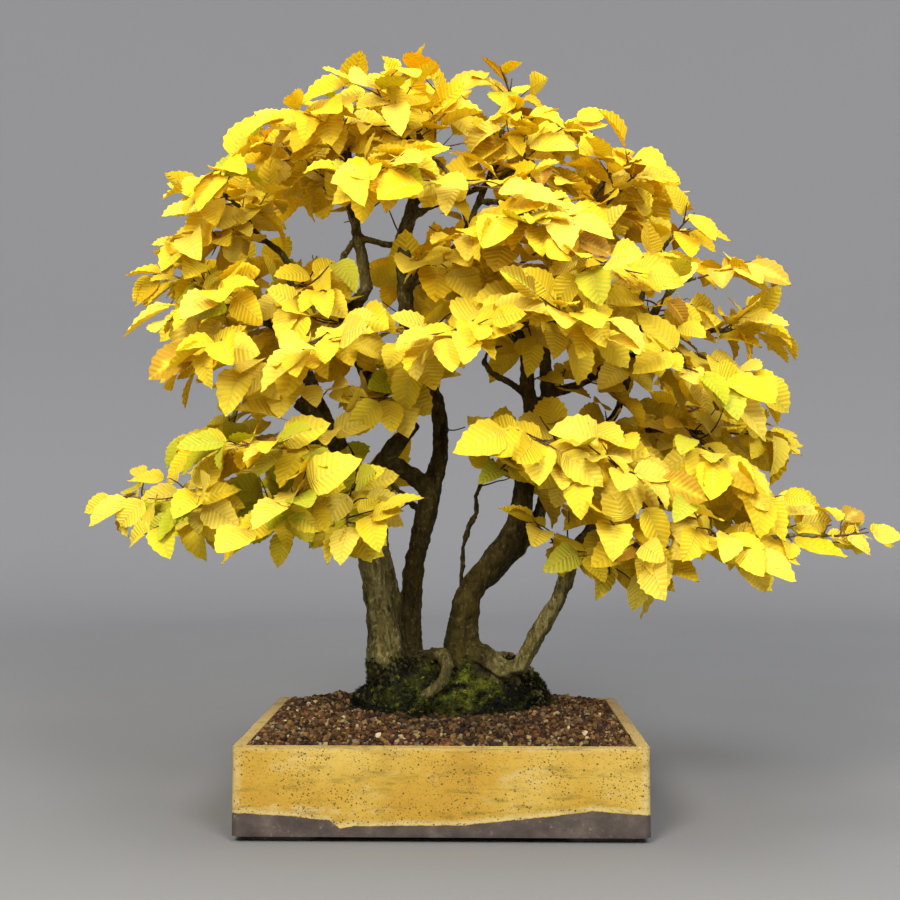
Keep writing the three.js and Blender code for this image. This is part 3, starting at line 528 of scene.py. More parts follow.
def joined(name, pieces):
    """Joins pieces into one with its place in its mesh."""
    piece = only(*pieces)
    if len(pieces) > 1:
        bpy.ops.object.join()
    piece.name = name
    piece.data.name = name
    bpy.ops.object.transform_apply(location=True, rotation=True, scale=True)
    return piece


def smooth(piece, angle=35.0):
    only(piece)
    bpy.ops.object.shade_smooth_by_angle(angle=math.radians(angle))
    return piece


def finished(piece, material, nodes=()):
    """Gives a piece its material, its body and the CAD nodes that it stands for."""
    if material:
        piece.data.materials.clear()
        piece.data.materials.append(material)
    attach(piece, "root")
    if nodes:
        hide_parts(*nodes)
    return piece


def toned(piece, tone=(0.5, 0.0, 0.0)):
    """Writes one tone into every corner of a piece."""
    layer = piece.data.color_attributes.get("tone")
    if layer is None:
        layer = piece.data.color_attributes.new("tone", "FLOAT_COLOR", "POINT")
    layer.data.foreach_set("color", [*tone, 1.0] * len(piece.data.vertices))
    return piece


def copied(source, matrix, tone=None):
    """A copy of a piece with its own mesh, set in its place."""
    piece = source.copy()
    piece.data = source.data.copy()
    piece.matrix_world = matrix
    bpy.context.scene.collection.objects.link(piece)
    if tone:
        toned(piece, tone)
    return piece


def cad_copy(node):
    """A merged copy of a CAD node's mesh."""
    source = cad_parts[node]
    piece = bpy.data.objects.new(node + "_copy", source.data.copy())
    bpy.context.scene.collection.objects.link(piece)
    only(piece)
    pick_all(piece)
    bpy.ops.mesh.remove_doubles(threshold=0.00002)
    leave()
    return piece


def stem(routes, sides=1):
    """Thin round stems along routes of (place, radius), as one closed mesh."""
    curve = bpy.data.curves.new("stems", "CURVE")
    curve.dimensions = "3D"
    curve.bevel_depth = 1.0
    curve.bevel_resolution = sides
    curve.use_fill_caps = True
    curve.resolution_u = 3
    for route in routes:
        line = curve.splines.new("NURBS")
        line.points.add(len(route) - 1)
        line.order_u = 3
        line.use_endpoint_u = True
        for point, (place, radius) in zip(line.points, route):
            point.co = (*place, 1.0)
            point.radius = radius
    piece = bpy.data.objects.new("stems", curve)
    bpy.context.scene.collection.objects.link(piece)
    only(piece)
    bpy.ops.object.convert(target="MESH")
    return bpy.context.view_layer.objects.active


def drop(pieces):
    for piece in pieces:
        bpy.data.objects.remove(piece)


# Sizes and colours

class BonsaiPotSettings(bpy.types.PropertyGroup):
    wall: bpy.props.FloatProperty(
        name="Wall", description="Thickness of the pot's walls", default=12 * MM, subtype="DISTANCE",
    )
    foot_height: bpy.props.FloatProperty(
        name="Foot height", description="Height of the four feet", default=6 * MM, subtype="DISTANCE",
    )
    corner: bpy.props.FloatProperty(
        name="Corner", description="Radius of the pot's upright corners", default=7 * MM, subtype="DISTANCE",
    )
    edge: bpy.props.FloatProperty(
        name="Edge", description="Rounding of the rim and the lower edge",
        default=2.2 * MM, subtype="DISTANCE",
    )
    unevenness: bpy.props.FloatProperty(
        name="Unevenness", description="How far the hand-built walls wander",
        default=1.6 * MM, subtype="DISTANCE",
    )
    glaze: bpy.props.StringProperty(
        name="Glaze", description="Main colour of the glaze, as a six-figure code", default="B4902F",
    )
    glaze_deep: bpy.props.StringProperty(
        name="Deep glaze", description="Colour where the glaze is thick", default="A97E20",
    )


class BonsaiGroundSettings(bpy.types.PropertyGroup):
    grain: bpy.props.FloatProperty(
        name="Grain", description="Middle size of a grain of grit", default=5.3 * MM, subtype="DISTANCE",
    )
    spacing: bpy.props.FloatProperty(
        name="Spacing", description="Distance between the grains", default=4.2 * MM, subtype="DISTANCE",
    )
    tufts: bpy.props.IntProperty(
        name="Moss tufts", description="How many tufts the moss has", default=6300, min=0,
    )


class BonsaiWoodSettings(bpy.types.PropertyGroup):
    voxel: bpy.props.FloatProperty(
        name="Voxel", description="Grain of the trunks' surface", default=1.7 * MM, subtype="DISTANCE",
    )
    lumps: bpy.props.FloatProperty(
        name="Lumps", description="How far the trunks swell and sink", default=4.5 * MM, subtype="DISTANCE",
    )
    bark: bpy.props.StringProperty(name="Bark", description="Main colour of the bark", default="382E0B")
    bark_dark: bpy.props.StringProperty(
        name="Dark bark", description="Colour in the bark's hollows", default="191306",
    )


class BonsaiLeafSettings(bpy.types.PropertyGroup):
    length: bpy.props.FloatProperty(
        name="Length", description="Length of a middling leaf", default=49 * MM, subtype="DISTANCE",
    )
    width: bpy.props.FloatProperty(
        name="Width", description="Width of a middling leaf", default=30 * MM, subtype="DISTANCE",
    )
    translucency: bpy.props.FloatProperty(
        name="Translucency", description="Share of the light that passes through",
        default=0.36, min=0.0, max=1.0, subtype="FACTOR",
    )
    leaf_pale: bpy.props.StringProperty(
        name="Pale", description="Colour of the palest leaves", default="F8E868",
    )
    leaf_bright: bpy.props.StringProperty(
        name="Bright", description="Colour of most leaves", default="F8E73C",
    )
    leaf_gold: bpy.props.StringProperty(name="Gold", description="Colour of golden leaves", default="FADF28")
    leaf_amber: bpy.props.StringProperty(
        name="Amber", description="Colour of the oldest leaves", default="F0C21C",
    )


class BonsaiStageSettings(bpy.types.PropertyGroup):
    reach: bpy.props.FloatProperty(
        name="Reach", description="Radius of the studio floor", default=2.9, subtype="DISTANCE",
    )
    light: bpy.props.FloatProperty(
        name="Light", description="Strength of the main light", default=54.0, subtype="POWER",
    )


# The pot

# Thickness of the floor, and places from the pot's middle and sizes of its feet and drainage holes, in
# millimetres
POT_FLOOR = 12
FOOT_FROM_MIDDLE = (155, 113)
FOOT_SIZE = (72, 56, 9)
DRAIN_FROM_MIDDLE = 95
DRAIN_RADIUS = 12


class BONSAI_OT_pot(bpy.types.Operator):
    """Model the hand-built pot with its feet and drainage holes."""

    bl_idname = "bonsai.pot"
    bl_label = "Pot"

    def execute(self, context):
        settings = context.scene.bonsai_pot
        low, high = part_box("pot")
        base = low.z + settings.foot_height
        middle = POT_CENTRE + Vector((0, 0, (base + high.z) / 2))
        pot = added(bpy.ops.mesh.primitive_cube_add, size=1, location=middle)
        sized(pot, POT_SIZE.x, POT_SIZE.y, high.z - base)
        pick(pot, lambda a, b: abs(a.z - b.z) > 0.01, "EDGE")
        bpy.ops.mesh.bevel(offset=settings.corner, segments=5, affect="EDGES")
        pick(pot, lambda c, n: n.z > 0.9, "FACE")
        bpy.ops.mesh.inset(thickness=settings.wall, depth=0)
        sunk = high.z - base - POT_FLOOR * MM
        bpy.ops.mesh.extrude_region_move(TRANSFORM_OT_translate={"value": (0, 0, -sunk)})
        leave()
        # Cuts give the walls enough corners to wander
        cuts = [((0, 0, height * MM), (0, 0, 1)) for height in (20, 32, 46, 60, 74, 84)]
        cuts += [((POT_CENTRE.x + step * 40 * MM, 0, 0), (1, 0, 0)) for step in range(-4, 5)]
        cuts += [((0, POT_CENTRE.y + step * 38 * MM, 0), (0, 1, 0)) for step in range(-3, 4)]
        for place, across in cuts:
            pick_all(pot)
            bpy.ops.mesh.bisect(plane_co=place, plane_no=across)
            leave()
        sharp = math.radians(50)
        modified(pot, "BEVEL", width=settings.edge, segments=3, limit_method="ANGLE", angle_limit=sharp)
        modified(pot, "SUBSURF", subdivision_type="SIMPLE", levels=2, render_levels=2)
        lively = pot.vertex_groups.new(name="walls")
        for corner in pot.data.vertices:
            lively.add([corner.index], clamp((corner.co.z - 8 * MM) / (20 * MM)), "REPLACE")
        modified(
            pot, "DISPLACE", texture=clouds("pot_clouds", 0.07, 1), strength=settings.unevenness,
            mid_level=0.62, vertex_group="walls", texture_coords="LOCAL",
        )
        feet = [self.foot(side_x, side_y) for side_x in (-1, 1) for side_y in (-1, 1)]
        for foot in feet:
            modified(pot, "BOOLEAN", operation="UNION", object=foot, solver="EXACT")
        drop(feet)
        for side in (-1, 1):
            drain = added(
                bpy.ops.mesh.primitive_cylinder_add, vertices=32, radius=DRAIN_RADIUS * MM, depth=60 * MM,
                location=at_pot(side * DRAIN_FROM_MIDDLE, 0, POT_FLOOR),
            )
            modified(pot, "BOOLEAN", operation="DIFFERENCE", object=drain, solver="EXACT")
            drop([drain])
        pot = joined("glazed_pot", [pot])
        smooth(pot, 40)
        finished(pot, glaze_finish(settings), ["pot"])
        return {"FINISHED"}

    def foot(self, side_x, side_y):
        """One foot, with rounded upright corners and a worn lower edge."""
        foot = added(
            bpy.ops.mesh.primitive_cube_add, size=1,
            location=at_pot(side_x * FOOT_FROM_MIDDLE[0], side_y * FOOT_FROM_MIDDLE[1], FOOT_SIZE[2] / 2),
        )
        sized(foot, *[share * MM for share in FOOT_SIZE])
        pick(foot, lambda a, b: abs(a.z - b.z) > 0.005, "EDGE")
        bpy.ops.mesh.bevel(offset=9 * MM, segments=5, affect="EDGES")
        pick(foot, lambda a, b: max(a.z, b.z) < 0.001, "EDGE")
        bpy.ops.mesh.bevel(offset=1.2 * MM, segments=2, affect="EDGES")
        leave()
        return foot


class BONSAI_OT_screens(bpy.types.Operator):
    """Give the two drainage screens their black mesh."""

    bl_idname = "bonsai.screens"
    bl_label = "Drainage screens"

    def execute(self, context):
        mesh = screen_finish()
        for side in ("left", "right"):
            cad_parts["drainage_screen_" + side].data.materials[0] = mesh
        return {"FINISHED"}


# Soil, grit and moss

# Half of the room that the soil fills in the pot, in millimetres
SOIL_HALF = (188, 138)


def soil_height(x, y):
    """Height of the soil, in millimetres, at a place in millimetres from the pot's middle."""
    relief = math.sin(x * 0.21 + math.cos(y * 0.17) * 2) * math.cos(y * 0.19 + x * 0.05)
    sides = 1 - math.exp((abs(x) - SOIL_HALF[0]) / 34)
    back = 1 - math.exp((y - SOIL_HALF[1]) / 26)
    front = 1 - math.exp((-y - SOIL_HALF[1]) / 60)
    heap = 11 * mound(x + 116, y - 26, 20, 24)
    return 88 + 18 * sides * back * front + heap + 1.2 * relief


def soil_lumps(x, y):
    """Small unevenness of the soil, in millimetres."""
    return noise.noise(Vector((x, y, 0)) * 0.11) * 1.4


class BONSAI_OT_soil(bpy.types.Operator):
    """Fill the pot with soil, mounded up to the roots."""

    bl_idname = "bonsai.soil"
    bl_label = "Soil"

    def execute(self, context):
        low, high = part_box("soil")
        bed = added(
            bpy.ops.mesh.primitive_grid_add, x_subdivisions=94, y_subdivisions=70, size=1,
            location=POT_CENTRE,
        )
        sized(bed, high.x - low.x, high.y - low.y, 1)
        for corner in bed.data.vertices:
            x, y = (corner.co - POT_CENTRE).xy / MM
            corner.co.z = (soil_height(x, y) - 1.2 + soil_lumps(x, y)) * MM
        pick_all(bed)
        bpy.ops.mesh.extrude_region_move(TRANSFORM_OT_translate={"value": (0, 0, -0.04)})
        bpy.ops.transform.resize(value=(1, 1, 0), center_override=(0, 0, low.z))
        bpy.ops.mesh.select_all(action="SELECT")
        bpy.ops.mesh.normals_make_consistent(inside=False)
        leave()
        bed = joined("soil_bed", [bed])
        smooth(bed)
        finished(bed, soil_finish(), ["soil"])
        return {"FINISHED"}


def grain_kinds(size):
    """A few grains, each a rough block with its edges broken off."""
    kinds = []
    for seed in range(7):
        grain = added(bpy.ops.mesh.primitive_cube_add, size=size * 0.82)
        pick_all(grain)
        bpy.ops.mesh.bevel(offset=size * 0.22, segments=1, affect="EDGES")
        bpy.ops.mesh.select_all(action="SELECT")
        bpy.ops.transform.vertex_random(offset=size * 0.2, seed=seed + 3)
        leave()
        kinds.append(grain)
    return kinds


# Colours of the grains, and how many have each
GRIT_TONES = (
    ("432C15", 26), ("583D1C", 22), ("6E5028", 16), ("291C0E", 22), ("6A3C1E", 3), ("80582E", 4),
    ("8C7950", 9), ("665B44", 6), ("B3A37C", 2), ("45271A", 3),
)


def weighted(draw, choices):
    """One of the choices, each drawn as often as its weight says."""
    total = sum(weight for _, weight in choices)
    mark = draw.random() * total
    for choice, weight in choices:
        mark -= weight
        if mark <= 0:
            return choice
    return choices[-1][0]


def turned(draw):
    return Matrix.Rotation(draw.uniform(0, math.tau), 4, scattered(draw, 1).normalized())


class BONSAI_OT_grit(bpy.types.Operator):
    """Strew the soil with grains of grit."""

    bl_idname = "bonsai.grit"
    bl_label = "Grit"

    def execute(self, context):
        settings = context.scene.bonsai_ground
        draw = random.Random(41)
        kinds = grain_kinds(settings.grain)
        spacing = settings.spacing / MM * 1
        halves = {"grit_left": [], "grit_right": []}
        wide, deep = SOIL_HALF
        for x, y in self.rows(wide - 2, deep - 2, spacing):
            x = clamp(x + draw.uniform(-0.5, 0.5) * spacing, 3.5 - wide, wide - 3.5)
            y = clamp(y + draw.uniform(-0.5, 0.5) * spacing, 3.5 - deep, deep - 3.5)
            under_moss = in_oval(x, y, 2, 4, 88, 40)
            if not under_moss:
                halves["grit_left" if x < 0 else "grit_right"].append(self.grain(draw, kinds, x, y))
        drop(kinds)
        grit = grit_finish()
        for name, grains in halves.items():
            finished(joined(name, grains), grit)
        return {"FINISHED"}

    def rows(self, half_x, half_y, spacing):
        """Places in rows all over the soil."""
        y = -half_y
        while y < half_y:
            x = -half_x
            while x < half_x:
                yield x, y
                x += spacing
            y += spacing

    def grain(self, draw, kinds, x, y):
        """One grain on the soil, darker in a patch at the front of the moss, partly wet soil and partly painted
        shadow.
        """
        place = at_pot(x, y, soil_height(x, y) - 0.6 + soil_lumps(x, y) + draw.uniform(-0.4, 1.0))
        size = draw.choice((0.5, 0.65, 0.8, 0.95, 1.05, 1.15, 1.4))
        shape = Matrix.Diagonal((size, size * draw.uniform(0.65, 1.1), size * draw.uniform(0.5, 0.95), 1))
        colour = tint(weighted(draw, GRIT_TONES))
        # The patch in front of the moss darkens grains: partly wet soil, partly painted shadow of the moss
        shade = draw.uniform(0.7, 1.35) * (1 - 0.5 * mound(x - 40, y + 82, 62, 34))
        kind = draw.choice(kinds)
        matrix = Matrix.Translation(place) @ turned(draw) @ shape
        return copied(kind, matrix, [share * shade for share in colour[:3]])


def moss_tone(draw, place):
    """Nearly black olive, brighter in a patch at the front and on a few stray tips."""
    x, y, z = (place - POT_CENTRE) / MM
    patch = mound(x - 20, z - 128, 30, 24) if y < 10 else 0.0
    bright = patch * (0.5 + noise.noise(place * 110) * 1.3) + 0.35 * noise.noise(place * 45)
    bright += draw.uniform(-0.06, 0.16)
    if draw.random() < 0.07:
        bright += 0.6
    dark = Vector(tint("13120A")[:3])
    lit = Vector(tint("747A22")[:3])
    return list(dark.lerp(lit, clamp(bright)))


def moss_tuft():
    """Five short pointed blades that lean apart."""
    blades = []
    for number in range(5):
        turn = number * 2.4
        away = 0.85 * math.sqrt(number) * MM
        lean = 0.16 * math.sqrt(number)
        blades.append(added(
            bpy.ops.mesh.primitive_cone_add, vertices=3, radius1=0.8 * MM, depth=(5.6 - 0.4 * number) * MM,
            location=(away * math.cos(turn), away * math.sin(turn), 1.5 * MM),
            rotation=(-lean * math.sin(turn), lean * math.cos(turn), number),
        ))
    return joined("tuft", blades)


def tufts_on(draw, tuft, piece, count, likely):
    """Tufts on faces of a piece, each face drawn by how likely moss is to grow there."""
    tufts = []
    faces = [face for face in piece.data.polygons if draw.random() < likely(face)]
    for face in draw.sample(faces, min(len(faces), count)):
        lean = (face.normal + scattered(draw, 0.35)).normalized()
        size = draw.uniform(0.6, 1.2)
        matrix = Matrix.Translation(face.center) @ lean.to_track_quat("Z", "Y").to_matrix().to_4x4()
        matrix = matrix @ Matrix.Rotation(draw.uniform(0, math.tau), 4, "Z") @ Matrix.Scale(size, 4)
        tufts.append(copied(tuft, matrix, moss_tone(draw, face.center)))
    return tufts


def root_moss(face):
    """How likely moss is on the wood: thick at its foot, gone above the collar, none on the bare parts."""
    x, y, z = (face.center - POT_CENTRE) / MM
    arched_root = -32 < x < 18 and y < -22 and z > 124
    kneeling_limb = x > 28 and y < -6 and z > 124
    if z > 162 or arched_root or kneeling_limb:
        return 0.0
    return clamp((160 - z) / 12 + noise.noise(face.center * 60)) * (1.0 if y < 20 else 0.5)


def moss_fringe(face):
    """How likely moss has crept from the cushion on to the soil."""
    x, y, _ = (face.center - POT_CENTRE) / MM
    away = math.hypot(x / 100, (y - 2) / 56)
    if face.normal.z < 0.5 or away < 0.85:
        return 0.0
    return max(0.0, 1.0 - (away - 0.9) * 2.2 + noise.noise(face.center * 40) * 1.2)


# The knee of the low limb, which lies bare in a hollow of the moss, and how far the hollow reaches round
# it, in millimetres
KNEE = ((46, -18, 154), (56, -24, 150), (66, -30, 146), (76, -34, 148), (84, -34, 158))
HOLLOW = 18

# How far to the right of the pot's middle the cushion begins to be drawn in by a fifth
DRAWN_IN = 45


class BONSAI_OT_moss(bpy.types.Operator):
    """Lay the moss over the foot of the root mass."""

    bl_idname = "bonsai.moss"
    bl_label = "Moss"

    def execute(self, context):
        count = context.scene.bonsai_ground.tufts // 1
        wood = bpy.data.objects.get("trunks_and_limbs")
        if wood is None:
            raise RuntimeError("the moss grows on the trunks and limbs, which aren't there yet")
        draw = random.Random(17)
        cushion = cad_copy("moss")
        modified(cushion, "REMESH", mode="VOXEL", voxel_size=2.2 * MM)
        modified(cushion, "SMOOTH", factor=0.7, iterations=5)
        swells, lumps = clouds("moss_clouds", 0.020), clouds("moss_lumps", 0.006)
        modified(cushion, "DISPLACE", texture=swells, strength=14 * MM, mid_level=0.52)
        modified(cushion, "DISPLACE", texture=lumps, strength=5 * MM, mid_level=0.5)
        for corner in cushion.data.vertices:
            away = min((corner.co - at_pot(*spot)).length / MM for spot in KNEE)
            if away < HOLLOW:
                corner.co += Vector((0, 0.7, -0.7)) * (HOLLOW - away) * MM
            beyond = corner.co.x - POT_CENTRE.x - DRAWN_IN * MM
            if beyond > 0:
                corner.co.x -= beyond / 5
        toned(cushion)
        layer = cushion.data.color_attributes["tone"]
        for corner, colour in zip(cushion.data.vertices, layer.data):
            colour.color = (*[share * 0.45 for share in moss_tone(draw, corner.co)], 1)
        moss = moss_finish()
        tuft = moss_tuft()
        tufts = tufts_on(draw, tuft, cushion, count // 3, lambda face: 1.0 if face.normal.z > -0.1 else 0.0)
        tufts += tufts_on(draw, tuft, wood, count, root_moss)
        tufts += tufts_on(draw, tuft, bpy.data.objects["soil_bed"], count // 12, moss_fringe)
        drop([tuft])
        cushion = joined("moss_cushion", [cushion])
        smooth(cushion, 60)
        finished(cushion, moss, ["moss"])
        finished(joined("moss_tufts", tufts), moss)
        return {"FINISHED"}


# Trunks and limbs

# Where the right trunk turns outwards, in millimetres from the middle of the pot's foot
RIGHT_ELBOW = (58, 14, 234)

# Triangles that the finished wood keeps
WOOD_TRIANGLES = 190000


class BONSAI_OT_wood(bpy.types.Operator):
    """Turn the CAD tree into gnarled trunks, limbs and roots."""

    bl_idname = "bonsai.wood"
    bl_label = "Trunks and limbs"

    def execute(self, context):
        settings = context.scene.bonsai_wood
        tree = cad_copy("tree")
        voxel = settings.voxel * 1
        modified(tree, "REMESH", mode="VOXEL", voxel_size=voxel)
        modified(tree, "SMOOTH", factor=0.6, iterations=8)
        elbow = tree.vertex_groups.new(name="elbow")
        for corner in tree.data.vertices:
            away = (corner.co - at_pot(*RIGHT_ELBOW)).length / MM
            elbow.add([corner.index], clamp((40 - away) / 12), "REPLACE")
        modified(tree, "SMOOTH", factor=0.9, iterations=150, vertex_group="elbow")
        thick = tree.vertex_groups.new(name="thick")
        for corner in tree.data.vertices:
            z = corner.co.z
            thick.add([corner.index], 1.0 if z < 0.3 else max(0.55, 1 - (z - 0.3) / 0.25), "REPLACE")
        modified(
            tree, "DISPLACE", texture=clouds("wood_lumps", 0.020), strength=settings.lumps, mid_level=0.48,
            vertex_group="thick",
        )
        modified(tree, "DISPLACE", texture=clouds("wood_knots", 0.0075), strength=3.0 * MM, mid_level=0.46)
        modified(tree, "DECIMATE", ratio=min(1.0, WOOD_TRIANGLES / (2 * len(tree.data.polygons))))
        tree = joined("trunks_and_limbs", [tree])
        smooth(tree, 80)
        finished(tree, bark_finish(settings), ["tree"])
        return {"FINISHED"}


# Leafy shoots

# Each grows from the end of its limb: reach in millimetres, the seed of its last redraw, and the limb's
# route, in millimetres from the middle of the pot's foot
LIMBS = {
    "leftBack": (56, 0, [(-42, 24, 100), (-46, 26, 155), (-55, 27, 215), (-68, 25, 265), (-73, 19, 312),
        (-72, 4, 360), (-55, -5, 381), (-36, -9, 404), (-60, -5, 422), (-78, 4, 446), (-92, 14, 480),
        (-105, 20, 516), (-100, 21, 541), (-86, 20, 562), (-92, 20, 598), (-105, 20, 652), (-103, 10, 690),
        (-107, 2, 722)]),
    "middle": (48, 44, [(-34, 18, 100), (-38, 20, 160), (-38, 20, 206), (-32, 20, 260), (-20, 20, 312),
        (-14, 20, 340), (-5, 24, 375), (-4, 29, 410), (-11, 30, 440), (-29, 25, 470), (-40, 20, 502),
        (-44, 20, 556), (-46, 16, 612), (-36, 12, 650), (-22, 5, 698), (-28, 0, 732), (-43, -4, 758)]),
    "rightFork": (62, 3, [(48, 8, 234), (62, 19, 250), (83, 26, 275), (104, 30, 310), (117, 30, 348),
        (135, 30, 376), (172, 34, 398), (229, 35, 405), (271, 30, 401), (306, 20, 400)]),
    "kneeling": (66, 0, [(30, -6, 165), (46, -16, 158), (64, -28, 147), (81, -33, 152), (95, -30, 179),
        (122, -22, 222), (132, -20, 250), (141, -20, 275), (156, -16, 296), (172, -16, 311), (199, -20, 319),
        (236, -30, 326), (292, -44, 326)]),
    "thinShoot": (44, 9, [(20, 10, 205), (19, 17, 235), (20, 20, 274), (27, 24, 299), (36, 26, 312),
        (34, 26, 330), (40, 18, 344), (54, 4, 354)]),
    "lowLeft": (70, 0, [(-84, -16, 292), (-115, -38, 294), (-150, -58, 310), (-186, -68, 323), (-226, -64, 327),
        (-280, -58, 330)]),
    "lowLeftRise": (58, 0, [(-182, -66, 322), (-202, -60, 346), (-216, -42, 370)]),
    "lowLeftFront": (62, 0, [(-222, -62, 326), (-229, -84, 324), (-238, -106, 318)]),
    "lowLeftInner": (60, 1, [(-150, -58, 310), (-151, -88, 314), (-150, -118, 314)]),
    "lowLeftBack": (70, 2, [(-86, -16, 300), (-106, 60, 326), (-136, 128, 345)]),
    "longLeft": (58, 5, [(-112, -40, 386), (-133, -42, 430), (-146, -22, 460), (-156, 0, 490), (-169, 10, 521),
        (-171, 15, 555), (-169, 15, 581), (-181, 16, 600), (-208, 20, 620), (-240, 30, 642)]),
    "longLeftLow": (66, 0, [(-155, 0, 488), (-200, 9, 525), (-234, 10, 545), (-266, 10, 562)]),
    "longLeftFront": (58, 1, [(-232, 10, 544), (-229, -40, 535), (-234, -80, 525)]),
    "longLeftBack": (66, 0, [(-168, 9, 518), (-206, 80, 536), (-240, 138, 570)]),
    "midLeft": (66, 3, [(-130, -44, 424), (-157, -80, 448), (-186, -106, 460)]),
    "midLeftLow": (64, 0, [(-112, -42, 384), (-134, -88, 386), (-156, -124, 380)]),
    "topLeft": (58, 5, [(-104, 20, 652), (-140, 30, 694), (-178, 40, 720)]),
    "topLeftFront": (58, 0, [(-104, 8, 696), (-116, -30, 711), (-132, -60, 716)]),
    "topLeftBack": (64, 0, [(-105, 20, 654), (-131, 90, 686), (-160, 148, 712)]),
    "innerFront": (62, 0, [(-103, 18, 512), (-108, -60, 510), (-112, -116, 492)]),
    "highFront": (60, 0, [(-100, 20, 622), (-86, -60, 636), (-66, -122, 646)]),
    "middleRight": (54, 0, [(-41, 14, 636), (-14, 11, 650), (16, 6, 660), (50, 0, 671), (84, 0, 690),
        (104, 0, 711)]),
    "middleTopBack": (62, 1, [(-23, 6, 696), (-15, 80, 730), (-8, 140, 752)]),
    "middleHighFront": (60, 0, [(-22, 5, 698), (-5, -70, 676), (10, -124, 646)]),
    "middleFront": (62, 1, [(-40, 20, 500), (-15, -70, 496), (8, -142, 488)]),
    "middleBack": (66, 2, [(-43, 20, 556), (-30, 100, 586), (-18, 168, 610)]),
    "middleLowBack": (68, 3, [(-21, 20, 308), (-48, 90, 330), (-72, 158, 350)]),
    "rightUp": (48, 7, [(97, 10, 410), (91, 9, 449), (90, 6, 485), (76, 6, 515), (50, 9, 539), (22, 14, 556),
        (16, 15, 590), (21, 15, 614), (29, 15, 636), (40, 16, 661), (56, 20, 700), (66, 16, 744)]),
    "rightUpFront": (60, 1, [(76, 6, 513), (100, -80, 510), (112, -144, 500)]),
    "rightHighFront": (60, 0, [(38, 16, 656), (68, -60, 636), (86, -124, 612)]),
    "rightMain": (52, 3, [(98, 10, 410), (113, 11, 440), (111, 12, 466), (110, 15, 496), (125, 19, 535),
        (140, 20, 575), (150, 20, 616), (158, 20, 648), (173, 14, 674), (192, 8, 694)]),
    "rightMainFront": (60, 3, [(140, 20, 574), (150, -70, 566), (157, -138, 556)]),
    "rightMainBack": (66, 1, [(111, 15, 494), (136, 100, 526), (161, 168, 550)]),
    "rightMainBackHigh": (62, 1, [(158, 20, 646), (181, 90, 680), (208, 148, 702)]),
    "sweep": (42, 2, [(112, 12, 442), (135, 6, 447), (161, 0, 459), (186, -10, 480), (209, -20, 506),
        (221, -28, 524), (236, -31, 541), (250, -35, 556), (268, -38, 560)]),
    "farRight": (50, 1, [(168, 33, 396), (190, 30, 421), (201, 25, 454), (201, 20, 490), (209, 15, 520),
        (219, 5, 558), (230, 0, 588), (248, -6, 612)]),
    "farRightOut": (52, 6, [(201, 20, 488), (230, 2, 500), (256, -10, 504), (290, -14, 507), (322, -18, 508)]),
    "rightPadFront": (60, 0, [(134, 30, 376), (124, -50, 380), (108, -118, 380)]),
    "rightPadFrontOut": (60, 1, [(172, 34, 398), (170, -50, 382), (166, -118, 368)]),
    "rightPadOut": (58, 1, [(269, 30, 401), (275, -30, 386), (277, -76, 371)]),
    "rightPadBack": (64, 1, [(228, 35, 405), (264, 108, 420), (296, 166, 434)]),
    "lowRight": (54, 1, [(138, -20, 270), (164, -38, 281), (204, -60, 277), (241, -75, 276), (302, -88, 286),
        (350, -94, 291), (392, -92, 290)]),
    "lowRightFront": (54, 1, [(240, -75, 276), (248, -104, 284), (256, -134, 288)]),
    "lowRightInner": (54, 1, [(186, -50, 279), (188, -86, 286), (186, -118, 286)]),
    "lowRightBack": (66, 1, [(198, -20, 319), (236, 60, 336), (274, 128, 350)]),
    "middleTopFront": (56, 3, [(-26, 6, 694), (-40, -42, 716), (-58, -84, 730)]),
    "middleMidFront": (58, 0, [(-44, 20, 558), (-22, -46, 570), (4, -98, 576)]),
    "longLeftTopFront": (56, 3, [(-206, 20, 618), (-219, -30, 640), (-236, -72, 650)]),
    "leftTrunkFront": (50, 2, [(-96, -25, 338), (-98, -60, 332), (-96, -92, 322)]),
    "farRightLow": (58, 1, [(201, 20, 486), (220, -38, 474), (236, -86, 462)]),
}

# Thin leafy limbs that fill the crown between the others, each from a place on a limb of the tree
FILLING = {
    "top": [(-26, 6, 694), (-14, -8, 730), (2, -20, 762)],
    "top_right": [(48, 18, 680), (66, -6, 706), (92, -22, 722)],
    "right_shoulder": [(150, 20, 616), (178, -20, 650), (206, -44, 672)],
    "right_inner": [(50, 9, 539), (70, -50, 566), (92, -92, 574)],
    "right_rise": [(201, 22, 476), (222, -30, 512), (226, -70, 530)],
    "right_out": [(230, 2, 500), (282, -40, 474), (322, -58, 452)],
    "left_out": [(-208, 20, 620), (-244, -10, 612), (-280, -34, 602)],
    "left_inner": [(-169, 14, 560), (-152, -30, 556), (-134, -66, 546)],
    "heart": [(-29, 25, 470), (-44, -20, 452), (-54, -62, 438)],
    "knee_front": [(141, -20, 275), (128, -46, 284), (110, -66, 282)],
    "knee_out": [(172, -16, 311), (170, -60, 268), (168, -92, 252)],
    "left_low": [(-115, -38, 294), (-112, -66, 288), (-112, -92, 274)],
}

